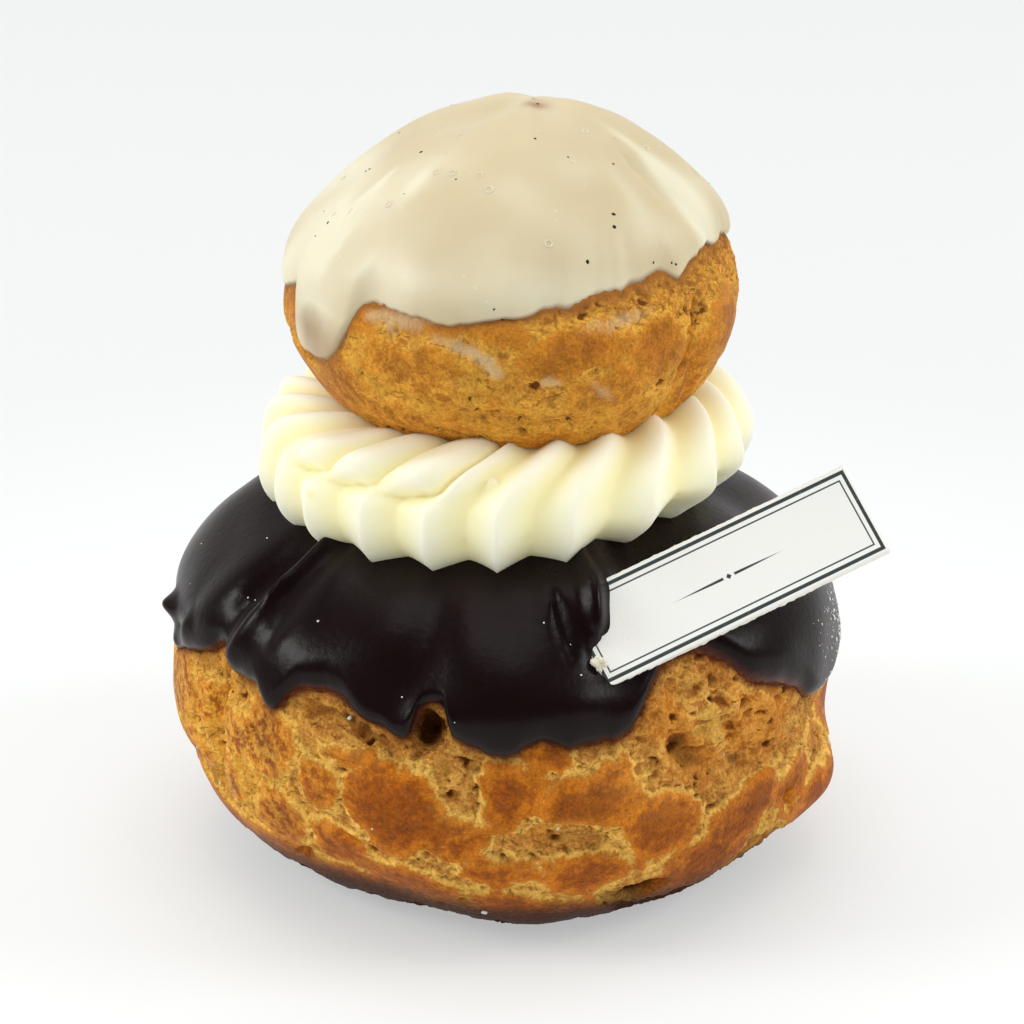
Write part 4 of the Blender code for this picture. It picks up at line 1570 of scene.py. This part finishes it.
    def _dimple(self, collar: Item) -> None:
        """Press the small oval pits that air leaves in the cream, and draw out the thin tips."""
        skin = Surface(collar)
        places = vertex_places(collar)
        pit_shade = np.zeros(len(places))
        for spot in self.pits:
            middle, normal = skin.under(spot.turn, spot.height)
            reach = np.linalg.norm((places - middle) * (1.0, 1.0, 1.7), axis=-1) / spot.size
            dip = np.exp(-reach ** 2)
            pit_shade = np.maximum(pit_shade, dip)
            places -= normal * (dip * spot.size * self.pit_depth)[:, None]
        for tip, reach in self.tips:
            middle, _ = skin.under(tip.turn, tip.height)
            pull = np.exp(-(np.linalg.norm(places - middle, axis=-1) / tip.size) ** 2)
            places += np.array([0.0, -0.25, 1.0]) * (pull * reach)[:, None]
        move_vertices(collar, places)
        # The pits' mask is kept for the painted shade that yellows them.
        mark(collar, "pit_shade", pit_shade)

    def make(self, effects: Effects) -> Item:
        """Return the collar, with its pits and drawn-out tips."""
        material = self.tones.make("butter cream", effects)
        collar = self.tree().grow(self.carrier(), self.name, material)
        recalculate_outward(collar.data)
        self._dimple(collar)
        return collar


@dataclass
class Plaque(Piece):
    """A thin white plaque that leans on the icing, with rough sawn edges and a printed border."""

    name: str = "printed_plaque"
    node: str | None = "plaque"
    slot: str = "white_chocolate"
    length: float = 34.8
    width: float = 10.4
    thickness: float = 1.7
    face_turn: float = 12.0
    tilt: float = 38.0
    climb: float = 20.5
    corner: float = 0.34
    round_off: float = 0.22
    sawn: float = 0.3       # the distance between points on its sawn edges
    tones: PlaqueTones = field(default_factory=PlaqueTones)

    def axes(self) -> tuple[Vector, Vector, Vector]:
        """Return the plaque's directions along, across and out of its face."""
        turn, tilt = math.radians(self.face_turn), math.radians(self.tilt)
        flat = Vector((math.cos(turn), math.sin(turn), 0.0))
        front = Vector((math.sin(turn), -math.cos(turn), 0.0))
        out = front * math.cos(tilt) + Vector((0.0, 0.0, math.sin(tilt)))
        climb = math.radians(self.climb)
        along = flat * math.cos(climb) + out.cross(flat) * math.sin(climb)
        return along, out.cross(along), out

    def make(self, effects: Effects) -> Item:
        """Return the plaque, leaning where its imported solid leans."""
        low, high = box_of("plaque")
        centre = (low + high) / 2.0
        along, across, out = (np.array(way) for way in self.axes())
        centre = centre - across * 0.15 - out * 0.5
        half_long, half_wide, half_deep = self.length / 2.0, self.width / 2.0, self.thickness / 2.0
        perimeter = self._outline(self.corner)
        shells = []
        for depth, inset in self._section(half_deep, self.round_off):
            flat = perimeter * (1.0 - inset / np.array([half_long, half_wide]))
            shells.append(np.concatenate([flat, np.full((len(flat), 1), depth)], axis=1))
        rings = np.array(shells)
        rough = np.clip(waves(rings, 1.3, 41) * 0.07 + waves(rings, 0.55, 42) * 0.05, -0.16, 0.16)
        edge = ease((half_deep - np.abs(rings[..., 2])) / 0.5)[..., None]
        rings[..., :2] *= 1.0 + edge * rough[..., None] / np.array([half_long, half_wide])
        places = (centre + rings[..., :1] * along + rings[..., 1:2] * across
                  + rings[..., 2:3] * out)
        item = closed_form(self.name, places)
        face = (rings[..., 2] > half_deep - 0.05).astype(float)
        mark_rings(item, along=rings[..., 0], across=rings[..., 1], face=face)
        item.data.materials.append(
            self.tones.make("printed plaque", effects, self.length, self.width))
        return item

    def _outline(self, corner: float) -> Array:
        """Return the plaque's outline: points in millimetres along and across its face."""
        half_long, half_wide = self.length / 2.0 - corner, self.width / 2.0 - corner
        points = []
        sides = ((half_long, -half_wide, 0.0), (half_long, half_wide, 90.0),
                 (-half_long, half_wide, 180.0), (-half_long, -half_wide, 270.0))
        for index, (x, y, start) in enumerate(sides):
            for step in range(5):
                angle = math.radians(start - 90.0 + step * 22.5)
                points.append((x + corner * math.cos(angle), y + corner * math.sin(angle)))
            after = sides[(index + 1) % 4]
            leave = np.array(points[-1])
            begin = math.radians(after[2] - 90.0)
            arrive = np.array([after[0] + corner * math.cos(begin),
                               after[1] + corner * math.sin(begin)])
            count = max(2, round(float(np.linalg.norm(arrive - leave)) / self.sawn))
            points += [tuple(leave + (arrive - leave) * share / count) for share in range(1, count)]
        return np.array(points)

    @staticmethod
    def _section(half_deep: float, round_off: float) -> list[tuple[float, float]]:
        """Return the depth and inset of each ring, from the face's middle to the back's middle."""
        front = [(half_deep, inset) for inset in (4.4, 3.2, 2.2, 1.5, 1.0, 0.6, round_off)]
        front += [(half_deep - round_off * (1.0 - math.cos(angle)),
                   round_off * (1.0 - math.sin(angle)))
                  for angle in (math.pi / 6.0, math.pi / 3.0, math.pi / 2.0)]
        straight = half_deep - round_off
        edge = [(depth, 0.0) for depth in np.linspace(straight, -straight, 7)[1:-1]]
        return front + edge + [(-depth, inset) for depth, inset in reversed(front)]


class Grain(Enum):
    """The kinds of small grains."""

    SEED = "seed"
    BUBBLE = "bubble"
    SUGAR = "sugar"
    CRUMB = "crumb"


@dataclass
class Sprinkle(Piece):
    """Grains of one kind, each sitting on a surface."""

    grain: Grain
    tones: GrainTones
    flat: float
    lumpiness: float
    seed: int
    spots: tuple[Array, Array, Array]   # places, the surface's normals there, and half sizes

    def tree(self) -> GrowthTree:
        """Return the tree that sets one grain on each point."""
        growth = GrowthTree(self.name + " scatter",
                            {"Size": 1.0, "Lumpiness": 0.25, "Seed": self.seed})
        tree = growth.tree
        if self.grain is Grain.BUBBLE:
            path = lay(tree, "GeometryNodeCurvePrimitiveCircle", Resolution=12, Radius=MM)
            section = lay(tree, "GeometryNodeCurvePrimitiveCircle", Resolution=6, Radius=MM * 0.3)
            body = lay(tree, "GeometryNodeCurveToMesh", Curve=path, Profile_Curve=section)
        elif self.grain is Grain.SUGAR:
            body = lay(tree, "GeometryNodeMeshCube", Size=(MM * 1.6, MM * 1.6, MM * 1.6))
        else:
            body = lay(tree, "GeometryNodeMeshIcoSphere", Radius=MM, Subdivisions=2)
        set_on = lay(tree, "GeometryNodeInstanceOnPoints", Instance=body,
                     Points=growth.start.outputs["Geometry"], Rotation=growth.vector("spin"),
                     Scale=scaled(tree, growth.vector("size"), growth.given("Size")))
        real = lay(tree, "GeometryNodeRealizeInstances", Geometry=set_on)
        wobble = lay(tree, "ShaderNodeTexNoise", {"noise_dimensions": "4D"},
                     W=growth.given("Seed"), Scale=4200.0, Detail=1.0)
        shift = lay(tree, "ShaderNodeVectorMath", {"operation": "SUBTRACT"},
                    Vector=wobble.outputs["Color"])
        shift.inputs[1].default_value = (0.5, 0.5, 0.5)
        offset = scaled(tree, shift, growth.given("Lumpiness") * MM)
        growth.finish(lay(tree, "GeometryNodeSetPosition", Geometry=real, Offset=offset))
        return growth

    def make(self, effects: Effects) -> Item:
        """Return one mesh of all the grains."""
        places, normals, sizes = self.spots
        random = np.random.default_rng(self.seed)
        carrier = add_mesh(self.name + " points", places)
        spins = []
        for normal in normals:
            turn = Matrix.Rotation(random.uniform(0.0, 2.0 * math.pi), 3, "Z")
            upright = Vector(normal).to_track_quat("Z", "Y").to_matrix()
            spins.append(tuple((upright @ turn).to_euler()))
        mark(carrier, "spin", np.array(spins))
        count = len(sizes)
        scale = sizes[:, None] * np.stack([
            random.uniform(0.8, 1.2, count), random.uniform(0.8, 1.2, count),
            np.full(count, self.flat)], axis=-1)
        if self.grain is Grain.BUBBLE:
            scale[:, 1] = scale[:, 0]
        mark(carrier, "size", scale)
        material = self.tones.make(self.name + " finish", effects)
        grains = self.tree().grow(carrier, self.name, material, Lumpiness=self.lumpiness,
                                  Seed=self.seed)
        grains.data.shade_smooth()
        return grains


SEEDS = rows(
    Spot, (42, 85.2, 0.16), (73, 84.6, 0.17), (20, 83.1, 0.15), (-57, 80.7, 0.19),
    (-81, 77.8, 0.17), (34, 81.4, 0.11), (55, 80.1, 0.14), (38.5, 76.6, 0.22), (36.5, 75.6, 0.20),
    (24, 73.1, 0.24), (45.5, 71.7, 0.15), (51, 71.3, 0.12), (-0.5, 68.1, 0.2), (-2.5, 69.4, 0.12),
    (-41, 78.1, 0.12), (-21, 80.0, 0.11),
)
BUBBLES = rows(
    Spot, (13, 75.2, 0.42), (-32, 80.2, 0.30), (-24, 80.4, 0.34), (-11, 80.5, 0.30),
    (-6, 79.5, 0.36), (-45, 77.0, 0.40), (-42, 82.4, 0.30), (61, 82.7, 0.26), (70, 81.7, 0.24),
    (77, 80.5, 0.28), (35, 81.0, 0.26), (-60, 75.4, 0.34),
)
LOOSE_SUGAR = rows(
    Spot, (-27.5, 27.2, 0.26), (-4.0, 4.4, 0.32), (-22.0, 16.0, 0.14), (9.0, 16.6, 0.16),
    (41.0, 21.0, 0.13),
)
# Each lump of the crumb: how far it lies along, across and out of the plaque, and its size
PLAQUE_CRUMB = [
    (0.0, 0.0, 1.1, 0.52), (0.5, -0.35, 1.2, 0.4), (-0.4, 0.35, 0.9, 0.38), (0.1, 0.6, 1.0, 0.34),
    (0.3, 0.15, 1.6, 0.36), (-0.2, -0.45, 0.9, 0.33),
]


def wild_spots(seed: int, count: int, turns: tuple[float, float], heights: tuple[float, float],
               sizes: tuple[float, float]) -> tuple[Spot, ...]:
    """Return random spots.

    Args:
        seed: the random seed.
        count: how many spots.
        turns: the first and last turn in degrees.
        heights: the lowest and highest height in millimetres.
        sizes: the smallest and largest size in millimetres.

    Returns:
        The spots.
    """
    random = np.random.default_rng(seed)
    return tuple(
        Spot(random.uniform(*turns), random.uniform(*heights),
             sizes[0] + (sizes[1] - sizes[0]) * random.uniform() ** 2) for _ in range(count))


@dataclass(frozen=True)
class SoftBox:
    """A square soft light that faces the pastry."""

    name: str
    place: tuple[float, float, float]
    size: float
    power: float
    target: tuple[float, float, float] = (0.0, 0.0, 0.04)

    def build(self) -> None:
        """Set the light up."""
        lamp = bpy.data.lights.new(self.name, "AREA")
        lamp.shape = "SQUARE"
        lamp.size = self.size
        lamp.energy = self.power
        item = add_object(self.name, lamp)
        item.location = self.place
        aim = Vector(self.target) - Vector(self.place)
        item.rotation_euler = aim.to_track_quat("-Z", "Y").to_euler()


@dataclass
class Studio:
    """A pale sweep of paper, soft lights on both sides and above, and the camera."""

    camera_place: tuple[float, float, float] = (0.0008, -0.3987, 0.1989)
    camera_pitch: float = 68.0
    lens: float = 137.4
    sensor: float = 36.0
    clip: tuple[float, float] = (0.01, 20.0)
    boxes: tuple[SoftBox, ...] = (
        SoftBox("left soft box", (-0.75, -0.12, 0.50), 0.3, 2.6),
        SoftBox("right soft box", (0.75, -0.05, 0.50), 0.3, 2.2),
        SoftBox("overhead soft box", (0.0, 0.12, 1.0), 0.7, 2.5),
    )
    fill: float = 1.0
    horizon: tuple[float, float] = (-0.6, 0.7)
    mirror_horizon: tuple[float, float] = (-0.1, 0.9)
    shades: tuple[float, float] = (0.67, 0.80)
    reflections: tuple[float, float] = (0.0, 0.65)
    # Near the pastry the paper is painted lighter: a painted pool of light that lifts the floor's
    # shadow there.
    paper: Colour = (0.50, 0.515, 0.51)
    far_paper: Colour = (0.42, 0.43, 0.425)
    glow: float = 0.415
    paper_sides: int = 96
    paper_reach: float = 6.0
    paper_level: float = -0.00004

    def build(self, effects: Effects) -> None:
        """Build the floor, the lights and the camera."""
        scene = bpy.context.scene
        scene.view_settings.view_transform = "Standard"
        world = bpy.data.worlds.new("studio air")
        world.use_nodes = True
        tree = world.node_tree
        way = lay(tree, "ShaderNodeSeparateXYZ",
                  Vector=tree.nodes.new("ShaderNodeTexCoord").outputs["Generated"])
        behind = Field(tree, way.outputs[1])
        seen = behind.ramp(*self.horizon).mix(*self.shades)
        reflected = behind.ramp(*self.mirror_horizon).mix(*self.reflections)
        mirrored = Field(tree, tree.nodes.new("ShaderNodeLightPath").outputs["Is Glossy Ray"])
        feed(tree, tree.nodes["Background"].inputs["Color"], mirrored.mix(seen, reflected))
        feed(tree, tree.nodes["Background"].inputs["Strength"], self.fill)
        scene.world = world
        for box in self.boxes:
            box.build()
        lens = bpy.data.cameras.new("camera")
        lens.sensor_width = self.sensor
        lens.lens = self.lens
        lens.clip_start, lens.clip_end = self.clip
        camera = add_object("camera", lens)
        camera.location = self.camera_place
        camera.rotation_euler = (math.radians(self.camera_pitch), 0.0, 0.0)
        scene.camera = camera
        self._floor(effects)

    def _floor(self, effects: Effects) -> None:
        """Lay the paper, a level round sheet, painted lighter near the pastry as a painted pool of
        light.
        """
        angles = [2.0 * math.pi * side / self.paper_sides
                  for side in reversed(range(self.paper_sides))]
        points = [(self.paper_reach * math.sin(angle), self.paper_reach * math.cos(angle),
                   self.paper_level) for angle in angles]
        mesh = bpy.data.meshes.new("paper")
        mesh.from_pydata(points, [], [tuple(range(self.paper_sides))])
        paper = add_object("paper", mesh)
        finish = Finish("lit white sheet", Roughness=0.6, Specular_IOR_Level=0.2,
                        Emission_Color=(0.985, 1.0, 1.0, 1.0), Emission_Strength=self.glow)
        broad, fine = finish.drift(effects, 8.0, 700.0)
        away = lay(finish.tree, "ShaderNodeVectorMath", {"operation": "LENGTH"})
        feed(finish.tree, away.inputs[0], finish.object_place())
        distance = Field(finish.tree, away.outputs["Value"]) + broad * 0.02
        # A painted pool of light: the paper is lighter close to the pastry.
        finish.give(Base_Color=finish.tone(distance.ramp(0.05, 0.17), self.paper, self.far_paper),
                    Roughness=fine * 0.06 + 0.6)
        mesh.materials.append(finish.material)


class Religieuse:
    """The pastry: two crusts, two icing caps, a collar of cream, a plaque and what lies on them."""

    def __init__(self, effects: Effects) -> None:
        """Take the shared effects and read the buns' shapes from the frame."""
        self.effects = effects
        self.large = bun_of("large_choux", 0.49, -0.3, 1.233, fullness_above=2.25,
                            fullness_below=2.3, lean=0.0, lumps=LARGE_LUMPS)
        self.small = bun_of("small_choux", 0.5, 0.2, 1.055, fullness_above=1.66,
                            fullness_below=2.05, lean=8.0, lumps=SMALL_LUMPS)

    def crusts(self) -> Item:
        """Build the two crusts and return the large one."""
        small_tones = CrustTones(
            heart=(0.33, 0.10, 0.013), middle=(0.47, 0.165, 0.018), rim=(0.60, 0.23, 0.022),
            halo_and_highlight=(0.76, 0.38, 0.055), band=(0.70, 0.34, 0.050), crack=(0.53, 0.21, 0.028),
            pit_shade=(0.12, 0.035, 0.008), crumb=(0.33, 0.13, 0.028), bake_and_shade_tone=(0.22, 0.075, 0.014),
            gold=(0.76, 0.38, 0.050), stain=(0.38, 0.145, 0.03))
        large = Crust(
            name="large_crust", node="large_choux", slot="crust", bun=self.large,
            hem=CHOCOLATE_HEM, plates=LARGE_PLATES, folds=LARGE_FOLDS, tears=LARGE_TEARS,
            golden=LARGE_GOLD, tones=CrustTones(), sides=560, fine_rows=140, relief=1.0,
            bottom_bake=8.0, wild_from=80.0, wild_to=305.0, seed=3).build(self.effects)
        Crust(
            name="small_crust", node="small_choux", slot="crust", bun=self.small,
            hem=VANILLA_HEM, plates=SMALL_PLATES, folds=SMALL_FOLDS, tears=SMALL_TEARS,
            golden=SMALL_GOLD, glazed=SMALL_GLAZE, tones=small_tones, sides=440, fine_rows=100,
            relief=0.62, bottom_bake=0.8, wild_from=86.0, wild_to=305.0, seed=5).build(self.effects)
        return large

    def icings(self) -> tuple[Item, Item]:
        """Build the two icing caps."""
        chocolate = ChocolateCap(
            name="chocolate_fondant", node="chocolate_icing", slot="chocolate", bun=self.large,
            hem=CHOCOLATE_HEM, swells=CHOCOLATE_SWELLS, feathered=CHOCOLATE_FEATHERS, wall=1.6,
            lip=1.9, sink=0.34, sides=480, rows=108, ripple=0.16, seed=31).build(self.effects)
        vanilla = VanillaCap(
            name="vanilla_fondant", node="vanilla_icing", slot="vanilla", bun=self.small,
            hem=VANILLA_HEM, swells=VANILLA_SWELLS, feathered=VANILLA_FEATHERS,
            thin_places=VANILLA_THIN, pools=VANILLA_POOLS, wall=1.6, lip=4.2, sink=0.3,
            sides=400, rows=92, ripple=0.14, seed=37).build(self.effects)
        return chocolate, vanilla

    def grains(self, crust: Item, chocolate: Item, vanilla: Item) -> None:
        """Set the small grains on the finished pieces."""
        on_crust, on_chocolate, on_vanilla = map(Surface, (crust, chocolate, vanilla))
        seeds = SEEDS + wild_spots(51, 22, (80.0, 290.0), (68.5, 84.0), (0.10, 0.22))
        Sprinkle("vanilla_seeds", None, "vanilla", Grain.SEED,
                 GrainTones((0.02, 0.014, 0.01), (0.006, 0.005, 0.004), 0.5), flat=0.6,
                 lumpiness=0.12, seed=61, spots=on_vanilla.spots(seeds, 0.2)).build(self.effects)
        bubbles = BUBBLES + wild_spots(52, 16, (85.0, 290.0), (70.0, 83.0), (0.2, 0.4))
        Sprinkle("vanilla_bubbles", None, "vanilla", Grain.BUBBLE,
                 GrainTones((0.78, 0.71, 0.51), (0.70, 0.60, 0.40), 0.3), flat=0.6,
                 lumpiness=0.03, seed=62, spots=on_vanilla.spots(bubbles, 0.02)).build(self.effects)
        dusting = wild_spots(53, 60, (68.0, 92.0), (19.5, 31.0), (0.06, 0.16))
        dusting += wild_spots(56, 70, (76.0, 87.0), (23.0, 31.0), (0.06, 0.2))
        dusting += wild_spots(54, 22, (-70.0, 300.0), (29.0, 42.0), (0.06, 0.13))
        loose = LOOSE_SUGAR + wild_spots(55, 14, (80.0, 300.0), (5.0, 24.0), (0.1, 0.24))
        joined = tuple(np.concatenate(pair) for pair in
                       zip(on_chocolate.spots(dusting, 0.2), on_crust.spots(loose, 0.2)))
        Sprinkle("sugar_grains", None, "white_chocolate", Grain.SUGAR,
                 GrainTones((0.86, 0.85, 0.82), (0.72, 0.70, 0.65), 0.45), flat=0.9,
                 lumpiness=0.1, seed=63, spots=joined).build(self.effects)

    def crumb(self, plaque: Plaque) -> None:
        """Set the small white crumb at the plaque's lower left edge."""
        along, across, out = (np.array(way) for way in plaque.axes())
        low, high = box_of("plaque")
        corner = ((low + high) / 2.0 - along * (plaque.length / 2.0 - 0.5)
                  - across * (plaque.width / 2.0 - 2.4))
        places = np.array([corner + along * a + across * b + out * c
                           for a, b, c, _ in PLAQUE_CRUMB])
        sizes = np.array([size for *_, size in PLAQUE_CRUMB])
        normals = np.repeat(out[None, :], len(places), axis=0)
        Sprinkle("plaque_crumb", None, "white_chocolate", Grain.CRUMB,
                 GrainTones((0.83, 0.80, 0.68), (0.74, 0.68, 0.50), 0.6), flat=0.85,
                 lumpiness=0.45, seed=64, spots=(places, normals, sizes)).build(self.effects)

    def build(self) -> None:
        """Build every piece in order."""
        crust = self.crusts()
        chocolate, vanilla = self.icings()
        Collar().build(self.effects)
        plaque = Plaque()
        plaque.build(self.effects)
        self.grains(crust, chocolate, vanilla)
        self.crumb(plaque)


def main() -> None:
    """Load the frame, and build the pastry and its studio."""
    logging.basicConfig(level=logging.INFO, format="%(name)s: %(message)s")
    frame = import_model()
    log.info("frame with %d nodes", len(frame["nodes"]))
    effects = Effects()
    Studio().build(effects)
    Religieuse(effects).build()


if __name__ == "__main__":
    main()
